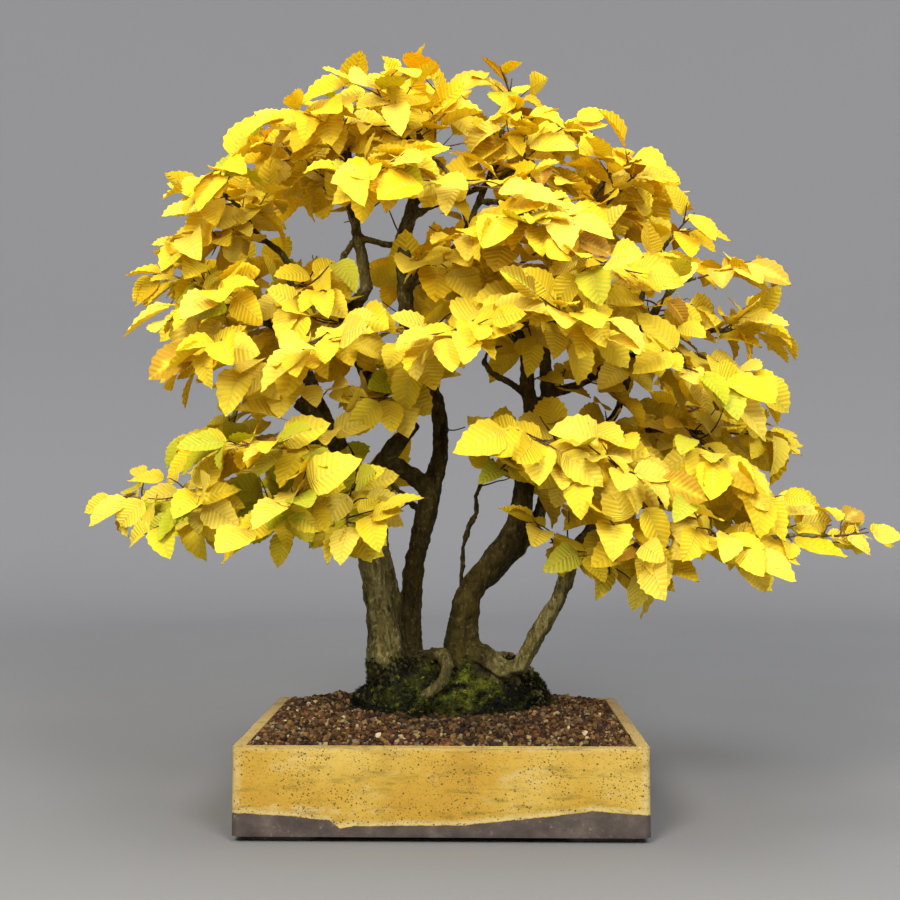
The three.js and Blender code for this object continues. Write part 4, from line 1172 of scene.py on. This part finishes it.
# The outline that the middles of the leaves keep to, seen from the front, in millimetres
CROWN_OUTLINE = (
    (-382, 332), (-362, 361), (-321, 384), (-265, 406), (-261, 426), (-286, 449), (-312, 475), (-308, 504),
    (-332, 523), (-347, 547), (-336, 577), (-312, 599), (-308, 627), (-286, 677), (-249, 722), (-202, 748),
    (-132, 781), (-102, 800), (-48, 811), (28, 808), (69, 811), (93, 792), (117, 764), (173, 746), (218, 703),
    (275, 655), (290, 629), (331, 612), (359, 588), (357, 556), (366, 514), (387, 462), (379, 430), (370, 400),
    (357, 356), (383, 330), (437, 317), (476, 289), (446, 276), (385, 276), (338, 248), (315, 265), (277, 261),
    (238, 246), (221, 224), (175, 235), (151, 259), (109, 272), (82, 287), (82, 309), (52, 328), (19, 350),
    (6, 430), (-11, 430), (-39, 397), (-44, 326), (-48, 291), (-78, 272), (-108, 283), (-143, 278),
    (-166, 255), (-197, 287), (-267, 274), (-284, 291), (-332, 283), (-375, 302),
)

# Places where the crown stands open and the limbs show: middle across and up, half size, and how far
# back from the pot's middle plane the place reaches, in millimetres as seen from the front
OPEN_PLACES = (
    (-113, 620, 68, 34, 400),
    (-70, 566, 34, 38, 40),
    (-35, 636, 36, 34, 400),
    (8, 710, 27, 32, 400),
    (45, 667, 24, 26, 60),
    (-196, 520, 22, 16, 400),
    (277, 561, 52, 17, 400),
    (287, 488, 30, 12, 400),
    (223, 317, 32, 17, 400),
    (36, 440, 44, 40, 400),
    (93, 432, 24, 26, 30),
    (-37, 372, 44, 44, 60),
    (6, 262, 98, 72, 400),
    (-140, 425, 42, 20, 60),
    (22, 412, 20, 30, 400),
    (-205, 560, 18, 26, 0),
    (68, 340, 26, 20, 60),
)

# Places where the leaves stand thinly: middle across and up, half size, and the share left out
THIN_PLACES = (
    (195, 258, 120, 44, 0.44),
    (330, 290, 90, 40, 0.16),
    (-235, 292, 140, 26, 0.26),
    (-60, 440, 80, 70, 0.17),
    (255, 560, 80, 60, 0.2),
)

UP = Vector((0, 0, 1))

# The middle of the crown, and where the photo was taken from, in millimetres from the middle of the pot's
# foot
CROWN_HEART = Vector((0, 40, 420))
FRONT_EYE = Vector((30, -1319, 326))

# Half a twig's thickness, the gap at its seat, and the side twigs' lengths as shares of the main twig's
TWIG_HALF = 1.5
SEAT_GAP = 0.3
SIDE_SHARES = (0.85, 0.7)

# The largest number of 32 bits
WORD = 0xFFFFFFFF


class Seeded:
    """The same run of numbers that the part's shoots are drawn with."""

    def __init__(self, seed):
        self.state = seed & WORD

    def draw(self):
        self.state = (self.state + 0x6D2B79F5) & WORD
        mixed = ((self.state ^ (self.state >> 15)) * (self.state | 1)) & WORD
        mixed ^= (mixed + (((mixed ^ (mixed >> 7)) * (mixed | 61)) & WORD)) & WORD
        return (mixed ^ (mixed >> 14)) / (WORD + 1)

    def spread(self, amount):
        return (self.draw() * 2 - 1) * amount


def upright(face, heading):
    """The part of a direction that is square to the heading."""
    return (face - heading * face.dot(heading)).normalized()


def crownward(place):
    """Outwards from the middle of the crown."""
    outward = place - CROWN_HEART
    outward.z *= 0.7
    return outward.normalized()


def wander(draw, foot, heading, left, face, length, steps):
    """A route that strays a little at each step."""
    route = [foot.copy()]
    ahead = heading.copy()
    for _ in range(steps):
        ahead = (ahead + left * draw.spread(0.24) + face * draw.spread(0.18)).normalized()
        route.append(route[-1] + ahead * (length / steps))
    return route


def shoot_routes(draw, reach, route):
    """The main twig of a shoot and its two side twigs, as the part has them."""
    before, end = Vector(route[-2]), Vector(route[-1])
    heading = (end - before).normalized()
    face = upright(UP * 0.6 + crownward(end) * 0.55, heading)
    left = face.cross(heading).normalized()
    first = 1 if draw.draw() < 0.5 else -1
    main = wander(draw, end + heading * SEAT_GAP, heading, left, face, reach, 3)
    sides = []
    for i, hand in enumerate((first, -first)):
        ahead = (main[i + 2] - main[i]).normalized()
        out = (ahead * 0.6 + left * 0.8 * hand).normalized()
        start = main[i + 1] + left * TWIG_HALF * hand
        sides.append(wander(draw, start, out, left, face, reach * SIDE_SHARES[i], 2))
    return face, main, sides


# Leaves

# One leaf is modelled flat and then bent into a few kinds. These are its rows, the stalk's share of its
# length, and the shares of its full width and of its blade's length at each row from the stalk up.
LEAF_ROWS = 13
STALK = 0.12
HALF_WIDTHS = (0.6, 0.85, 0.96, 1.0, 0.98, 0.925, 0.84, 0.73, 0.585, 0.42, 0.22, 0.0)
MIDRIB = (0.050, 0.083, 0.112, 0.143, 0.217, 0.310, 0.407, 0.510, 0.618, 0.734, 0.857, 1.0)


# How far up and down every second row stands, which pleats the blade, in millimetres
PLEAT = (0.6, -0.5)


def flat_leaf(settings):
    """A pointed blade with saw teeth on a short stalk, along +Y from its foot, closed and thin."""
    leaf = added(bpy.ops.mesh.primitive_grid_add, x_subdivisions=2, y_subdivisions=LEAF_ROWS, size=1)
    leaf.location.y = 0.5
    sized(leaf, settings.width, 1, 1)
    rows = sorted({round(corner.co.y, 6) for corner in leaf.data.vertices})
    blade = 1 - STALK
    for number, row in reversed(list(enumerate(rows))):
        if number < 2:
            share, middle, edge = 0.03, number * STALK, number * STALK
        else:
            tooth = 1.03 if number % 2 else 0.95
            share = max(HALF_WIDTHS[number - 2] * tooth, 0.012)
            middle = STALK + blade * MIDRIB[number - 2]
            point = 0.016 if number % 2 and number < LEAF_ROWS else 0
            edge = STALK + blade * ((number - 1) / (LEAF_ROWS - 1) + point)
        lift = PLEAT[0 if number % 2 else 1] * MM
        pick(leaf, lambda co: abs(co.y - row) < 1e-5 and abs(co.x) > 1e-5)
        bpy.ops.transform.resize(value=(share, 1, 1), center_override=(0, row, 0))
        bpy.ops.transform.translate(value=(0, edge + 2 - row, lift if number > 1 else 0))
        leave()
        pick(leaf, lambda co: abs(co.y - row) < 1e-5)
        bpy.ops.transform.translate(value=(0, middle + 2 - row, 0))
        leave()
    pick_all(leaf)
    bpy.ops.transform.translate(value=(0, -2, 0))
    bpy.ops.transform.resize(value=(1, settings.length, 1), center_override=(0, 0, 0))
    leave()
    modified(leaf, "SOLIDIFY", thickness=0.55 * MM, offset=0, use_rim=False)
    pick(leaf, lambda corner: False)
    bpy.ops.mesh.select_non_manifold()
    bpy.ops.mesh.remove_doubles(threshold=0.0007)
    bpy.ops.mesh.select_all(action="SELECT")
    bpy.ops.mesh.normals_make_consistent(inside=False)
    leave()
    return leaf


# The kinds of leaf: arch in degrees, how steeply the halves fold up, and twist in degrees
LEAF_BENDS = (
    (12, 0.16, 0), (30, 0.24, 10), (44, 0.34, -14), (18, 0.48, 18),
    (56, 0.20, 8), (8, 0.30, -24), (34, 0.10, 30), (72, 0.40, -10),
)


def leaf_kinds(settings):
    """The kinds of leaf: flat, arched, folded, curled and twisted."""
    flat = flat_leaf(settings)
    kinds = []
    for arch, fold, twist in LEAF_BENDS:
        leaf = copied(flat, Matrix.Identity(4))
        for corner in leaf.data.vertices:
            corner.co.z += abs(corner.co.x) * fold
        if twist:
            turn = math.radians(twist)
            modified(leaf, "SIMPLE_DEFORM", deform_method="TWIST", deform_axis="Y", angle=turn)
        for corner in leaf.data.vertices:
            bend(corner.co, math.radians(arch), settings.length)
        smooth(leaf, 50)
        kinds.append(leaf)
    drop([flat])
    return kinds


def bend(place, angle, length):
    """Bends a place on a leaf downwards, round an arc of this angle over the leaf's length."""
    radius = length / angle
    turn = place.y / radius
    reach = radius + place.z
    place.y = reach * math.sin(turn)
    place.z = reach * math.cos(turn) - radius


def leaf_tone(draw, place):
    """How golden, how green and how brown a leaf is, by its place in the crown, with painted shade making the
    leaves at the back more golden.
    """
    x, y, z = place
    # More golden towards the top, and towards the back as painted shade
    golden = 0.16 + max(0.0, (z - 430) / 1400) + max(0.0, (y + 60) / 900)
    gold = clamp(draw.gauss(golden, 0.2))
    low_left = mound(x + 190, z - 325, 110, 75)
    green = draw.uniform(0.35, 1.0) if draw.random() < 0.03 + 0.36 * low_left else 0.0
    right_edge = mound(x - 330, z - 580, 50, 60)
    top = mound(x - 70, z - 790, 50, 40)
    brown = draw.uniform(0.3, 1.0) if draw.random() < 0.03 + 0.4 * right_edge + 0.35 * top else 0.0
    return (gold, green, brown)


def leaf_matrix(draw, foot, heading, face, hand):
    """Where a leaf sits: opened away from its twig, a little drooping, and turned towards the light."""
    left = face.cross(heading).normalized()
    outward = crownward(foot)
    opened = draw.uniform(-0.5, 0.5) if hand == 0 else hand * (0.95 + draw.uniform(-0.4, 0.4))
    ahead = heading * math.cos(opened) + left * math.sin(opened)
    droop = draw.uniform(-0.1, 0.5) if draw.random() < 0.7 else draw.uniform(0.4, 1.1)
    ahead = (ahead - UP * droop + outward * 0.25).normalized()
    sideways = Vector((0, -1 if foot.y < 30 else 1, 0))
    stray = scattered(draw, 0.26)
    towards = UP * 0.6 + sideways * draw.uniform(0.2, 0.95) + outward * draw.uniform(0.0, 0.5) + stray
    top = upright(towards, ahead)
    side = ahead.cross(top)
    size = clamp(draw.gauss(1.0, 0.16), 0.66, 1.36)
    shape = Matrix.Diagonal((size * draw.uniform(0.82, 1.08), size, size * draw.uniform(0.6, 1.2), 1))
    axes = Matrix((side, ahead, top)).transposed().to_4x4()
    return Matrix.Translation(POT_CENTRE + foot * MM) @ axes @ shape


def seen_from_front(place):
    """Where a place, in millimetres, shows across and up on the pot's middle plane, from the front."""
    shown = FRONT_EYE + (place - FRONT_EYE) * FRONT_EYE.y / (FRONT_EYE.y - place.y)
    return shown.x, shown.z


def outside(place):
    """True for a place outside the crown's outline."""
    x, z = seen_from_front(place)
    crossings = 0
    for (x1, z1), (x2, z2) in zip(CROWN_OUTLINE, CROWN_OUTLINE[1:] + CROWN_OUTLINE[:1]):
        if (z1 > z) != (z2 > z) and x < x1 + (z - z1) * (x2 - x1) / (z2 - z1):
            crossings += 1
    return crossings % 2 == 0


def stands_open(place):
    """True for a place outside the crown's outline or in one of its gaps."""
    x, z = seen_from_front(place)
    return outside(place) or any(place.y < reach and in_oval(x, z, *oval) for *oval, reach in OPEN_PLACES)


def left_out(draw, place):
    """True for a leaf or twig that a thin place of the crown goes without."""
    x, z = seen_from_front(place)
    return any(in_oval(x, z, *oval) and draw.random() < share for *oval, share in THIN_PLACES)


def pokes_out(route):
    """True for a twig whose end comes nearly to the crown's outline."""
    return outside(route[-1] + crownward(route[-1]) * 8)


def cut_back(route):
    """A twig without the last of its places that poke out of the crown."""
    while len(route) > 2 and pokes_out(route):
        route = route[:-1]
    return route


def along(route, share):
    """The place and heading at a share of a route."""
    spans = [(b - a).length for a, b in zip(route, route[1:])]
    left_over = share * sum(spans)
    for i, span in enumerate(spans):
        if left_over <= span or i == len(spans) - 1:
            heading = (route[i + 1] - route[i]).normalized()
            return route[i] + heading * min(left_over, span), heading
        left_over -= span
    raise ValueError("a route needs at least two places")


def length_of(route):
    return sum((b - a).length for a, b in zip(route, route[1:]))


def places(route):
    return [Vector(place) for place in route]


def spur(draw, start, heading, out, length):
    """A short twig that leaves its limb and bends up or down a little, with its two radii."""
    ahead = (out + heading * 0.3).normalized()
    route = [start]
    for _ in range(4):
        route.append(route[-1] + ahead * length * 0.25)
        kink = Vector([draw.uniform(-0.38, 0.38) for _ in range(3)])
        ahead = (ahead + kink + UP * draw.uniform(-0.08, 0.1)).normalized()
    return (route, 1.1, 0.55)


def side_spurs(draw, face, route, shares, least, most):
    """Spurs to the left and right of a twig or limb in turn."""
    spurs = []
    hand = 1
    for share in shares:
        start, heading = along(route, share)
        left = face.cross(heading).normalized()
        out = heading * 0.25 + left * 0.8 * hand + face * draw.uniform(-0.2, 0.5)
        spurs.append(spur(draw, start, heading, out, draw.uniform(least, most)))
        hand = -hand
    return spurs


def round_spurs(draw, route):
    """Spurs set all round a limb, where it is clear of the trunks' bare feet."""
    spurs = []
    length = length_of(route)
    turn = draw.uniform(0, math.tau)
    done = 12.0
    while done < length - 15:
        start, heading = along(route, done / length)
        done += draw.uniform(25, 38)
        turn += 2.4
        if start.z < 400 and abs(start.x) < 130 and abs(start.y) < 60:
            continue
        aside = heading.cross(Vector((0.2, -1, 0.1))).normalized()
        around = aside * math.cos(turn) + heading.cross(aside) * math.sin(turn)
        out = around * 0.8 + UP * 0.15 + crownward(start) * 0.45
        spurs.append(spur(draw, start, heading, out, draw.uniform(24, 48)))
    return spurs


# The room round the middle of a leaf, the way from its foot to there, the room left to the CAD box, and
# the distance between leaves along a twig, in millimetres
LEAF_ROOM = 15.5
LEAF_MIDDLE = 24
BOX_ROOM = 3
LEAF_STEP = 15


class Foliage:
    """Sets leaves on twigs, each clear of the others' middles."""

    def __init__(self, settings):
        self.size = Vector((settings.width / 2, settings.length))
        self.kinds = leaf_kinds(settings)
        self.leaf_material = leaf_finish(settings)
        self.twig_material = twig_finish()
        self.taken = {}

    def leaves(self, draw, twigs):
        placed = []
        for number, (route, _, _) in enumerate(twigs):
            count = max(2, round(length_of(route) / LEAF_STEP))
            hand = 1 if number % 2 else -1
            for i in range(count + 1):
                foot, heading = along(route, min(0.25 + 0.75 * i / count, 1.0))
                face = upright(UP * 0.8 + crownward(foot) * 0.4, heading)
                self.leaf(draw, placed, foot, heading, face, 0 if i == count else hand)
                hand = -hand
        return placed

    def leaf(self, draw, placed, foot, heading, face, hand):
        """Tries a few ways to set a leaf on a twig, and leaves it out if none is clear."""
        if left_out(draw, foot):
            return
        for _ in range(8):
            matrix = leaf_matrix(draw, foot, heading, face, hand)
            middle = matrix @ Vector((0, LEAF_MIDDLE * MM, 0))
            place = (middle - POT_CENTRE) / MM
            if not stands_open(place) and self.inside_box(matrix) and self.free(middle):
                placed.append(copied(draw.choice(self.kinds), matrix, leaf_tone(draw, place)))
                return

    def inside_box(self, matrix):
        """True if a leaf's foot, sides and tip are all inside the CAD box."""
        half, length = self.size
        room = Vector((BOX_ROOM, BOX_ROOM, BOX_ROOM)) * MM
        low, high = WHOLE_LOW + room, WHOLE_HIGH - room
        for x, y in ((0, 0), (-half, length / 2), (half, length / 2), (0, length)):
            corner = matrix @ Vector((x, y, 0))
            if any(not low[k] < corner[k] < high[k] for k in range(3)):
                return False
        return True

    def free(self, middle):
        """Takes a place for a leaf, if it is clear of the other leaves' middles."""
        room = LEAF_ROOM * MM
        cell = tuple(math.floor(share / room) for share in middle)
        for near in itertools.product(*[range(number - 1, number + 2) for number in cell]):
            if any((middle - other).length < room for other in self.taken.get(near, ())):
                return False
        self.taken.setdefault(cell, []).append(middle)
        return True

    def piece(self, name, draw, twigs, nodes=()):
        """One piece of twigs with their leaves."""
        wanted = [twig for twig in twigs[1:] if not pokes_out(twig[0]) and not left_out(draw, twig[0][-1])]
        kept = [twig for twig in wanted if not stands_open(twig[0][-1]) or draw.random() < 0.35]
        twigs = twigs[:1] + kept
        leaves = self.leaves(draw, twigs)
        stems = stem([tapered(*twig) for twig in twigs])
        stems.data.materials.append(self.twig_material)
        toned(stems)
        for leaf in leaves:
            leaf.data.materials.append(self.leaf_material)
        return finished(joined(name, [stems, *leaves]), None, nodes)


def tapered(route, start, end):
    """A route in metres with a radius at each place."""
    last = len(route) - 1
    radii = [start + (end - start) * i / last for i in range(len(route))]
    return [(POT_CENTRE + place * MM, radius * MM) for place, radius in zip(route, radii)]


class BONSAI_OT_shoots(bpy.types.Operator):
    """Grow the leafy shoots on the ends of the limbs."""

    bl_idname = "bonsai.shoots"
    bl_label = "Leafy shoots"

    def execute(self, context):
        foliage = Foliage(context.scene.bonsai_leaf)
        for order, (name, (reach, redraw, route)) in enumerate(LIMBS.items()):
            face, main, sides = shoot_routes(Seeded(100 * (order + 1) + redraw), reach, route)
            main = cut_back(main)
            draw = random.Random(7000 + order)
            twigs = [(main, 1.5, 0.7)] + [(side, 1.15, 0.6) for side in sides]
            twigs += side_spurs(draw, face, main, (0.16, 0.5, 0.82), 24, 38)
            twigs += side_spurs(draw, face, places(route[-3:]), (0.35, 0.62, 0.86), 28, 46)
            foliage.piece("leaves_" + name, draw, twigs, ["shoot_" + name])
        self.filling(foliage)
        self.spurs(foliage)
        drop(foliage.kinds)
        return {"FINISHED"}

    def filling(self, foliage):
        """The thin limbs between the others, each with side twigs."""
        for order, (name, route) in enumerate(FILLING.items()):
            draw = random.Random(8000 + order)
            main = places(route)
            main.append(main[-1] + (main[-1] - main[-2]).normalized() * 40)
            main = cut_back(main)
            heading = (main[-1] - main[0]).normalized()
            face = upright(UP * 0.6 + crownward(main[-1]) * 0.55, heading)
            twigs = [(main, 2.6, 0.8)]
            twigs += side_spurs(draw, face, main, (0.3, 0.42, 0.54, 0.66, 0.78, 0.9), 26, 44)
            foliage.piece("filling_" + name, draw, twigs)

    def spurs(self, foliage):
        """Short leafy spurs along all limbs, in four pieces by the side of the crown."""
        sides = {"left_front": [], "left_back": [], "right_front": [], "right_back": []}
        for order, (_, _, route) in enumerate(LIMBS.values()):
            for twig in round_spurs(random.Random(9000 + order), places(route)):
                end = twig[0][-1]
                side = "left" if end.x < 0 else "right"
                sides[side + ("_front" if end.y < 10 else "_back")].append(twig)
        for order, (name, twigs) in enumerate(sides.items()):
            foliage.piece("spurs_" + name, random.Random(9500 + order), twigs)


# Stage

# The soft lights: place and width in metres, share of the main light's power, and colour
LIGHTS = {
    "left_light": ((-0.8, -1.9, 1.6), 0.9, 1.0, "FFF8EE"),
    "right_light": ((0.8, -1.8, 1.6), 0.9, 0.75, "FAFAFF"),
    "top_light": ((0.0, -0.2, 2.3), 1.2, 0.35, "FFFFFF"),
}
LIT_FROM_AROUND = ("E6E8EC", 1.08)

# Radius of the cove between floor and wall, its steps, and the height of the wall above it, in metres
COVE, COVE_STEPS, WALL = 0.9, 8, 1.6

# The camera's tilt up and turn to the left in degrees, and its lens and sensor in millimetres
TILT, TURN = 2.35, 1.03
LENS, SENSOR = 48.72, 36.0


class BONSAI_OT_stage(bpy.types.Operator):
    """Set the studio: floor and backdrop in one cove, soft lights and the camera."""

    bl_idname = "bonsai.stage"
    bl_label = "Studio"

    def execute(self, context):
        settings = context.scene.bonsai_stage
        flat = settings.reach - COVE
        floor = added(bpy.ops.mesh.primitive_circle_add, vertices=96, radius=flat, fill_type="NGON")
        pick(floor, lambda a, b: True, "EDGE")
        turns = [math.radians(90) * step / COVE_STEPS for step in range(COVE_STEPS + 1)]
        for before, after in zip(turns, turns[1:]):
            rise = COVE * (math.cos(before) - math.cos(after))
            wider = (flat + COVE * math.sin(after)) / (flat + COVE * math.sin(before))
            bpy.ops.mesh.extrude_edges_move(TRANSFORM_OT_translate={"value": (0, 0, rise)})
            bpy.ops.transform.resize(value=(wider, wider, 1), center_override=(0, 0, 0))
        bpy.ops.mesh.extrude_edges_move(TRANSFORM_OT_translate={"value": (0, 0, WALL)})
        leave()
        floor.name = "studio_cove"
        smooth(floor, 60)
        floor.data.materials.append(floor_finish())
        for name, (place, size, share, colour) in LIGHTS.items():
            self.light(name, place, size, settings.light * share, colour)
        world = bpy.data.worlds.new("studio_air")
        world.use_nodes = True
        background = world.node_tree.nodes["Background"]
        background.inputs["Color"].default_value = tint(LIT_FROM_AROUND[0])
        background.inputs["Strength"].default_value = LIT_FROM_AROUND[1]
        context.scene.world = world
        context.scene.view_settings.view_transform = "Standard"
        self.camera(context)
        return {"FINISHED"}

    def light(self, name, place, size, power, colour):
        """A round soft light, aimed at the middle of the tree."""
        bpy.ops.object.select_all(action="DESELECT")
        bpy.ops.object.light_add(type="AREA", location=place)
        lamp = bpy.context.view_layer.objects.active
        lamp.name = name
        lamp.data.shape = "DISK"
        lamp.data.size = size
        lamp.data.energy = power
        lamp.data.color = tint(colour)[:3]
        aim = Vector((0, 0, 0.4)) - Vector(place)
        lamp.rotation_euler = aim.to_track_quat("-Z", "Y").to_euler()

    def camera(self, context):
        """The camera at the photo's place and angle."""
        bpy.ops.object.select_all(action="DESELECT")
        bpy.ops.object.camera_add(location=at_pot(*FRONT_EYE))
        camera = bpy.context.view_layer.objects.active
        camera.name = "camera"
        camera.rotation_euler = (math.radians(90 + TILT), 0, math.radians(TURN))
        camera.data.sensor_width = SENSOR
        camera.data.lens = LENS
        context.scene.camera = camera


class BONSAI_PT_panel(bpy.types.Panel):
    """The bonsai's pieces, in the sidebar."""

    bl_idname = "BONSAI_PT_panel"
    bl_label = "Hornbeam Bonsai"
    bl_space_type = "VIEW_3D"
    bl_region_type = "UI"
    bl_category = "Bonsai"

    def draw(self, context):
        for name, (group, title, operators) in GROUPS.items():
            box = self.layout.box()
            box.label(text=title)
            settings = getattr(context.scene, name)
            for key in group.__annotations__:
                box.prop(settings, key)
            for operator in operators:
                box.operator(operator.bl_idname)


GROUPS = {
    "bonsai_pot": (BonsaiPotSettings, "Pot", (BONSAI_OT_pot, BONSAI_OT_screens)),
    "bonsai_ground": (
        BonsaiGroundSettings, "Soil and moss", (BONSAI_OT_soil, BONSAI_OT_grit, BONSAI_OT_moss),
    ),
    "bonsai_wood": (BonsaiWoodSettings, "Wood", (BONSAI_OT_wood,)),
    "bonsai_leaf": (BonsaiLeafSettings, "Leaves", (BONSAI_OT_shoots,)),
    "bonsai_stage": (BonsaiStageSettings, "Studio", (BONSAI_OT_stage,)),
}


def classes():
    groups = [group for group, _, _ in GROUPS.values()]
    operators = [operator for _, _, found in GROUPS.values() for operator in found]
    return [*groups, *operators, BONSAI_PT_panel]


def register():
    for made in classes():
        bpy.utils.register_class(made)
    for name, (group, _, _) in GROUPS.items():
        setattr(bpy.types.Scene, name, bpy.props.PointerProperty(type=group))


def unregister():
    for name in GROUPS:
        delattr(bpy.types.Scene, name)
    for made in reversed(classes()):
        bpy.utils.unregister_class(made)


def main():
    register()
    bpy.ops.bonsai.pot()
    bpy.ops.bonsai.screens()
    bpy.ops.bonsai.soil()
    bpy.ops.bonsai.grit()
    bpy.ops.bonsai.wood()
    bpy.ops.bonsai.moss()
    bpy.ops.bonsai.shoots()
    bpy.ops.bonsai.stage()
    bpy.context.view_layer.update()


if __name__ == "__main__":
    main()
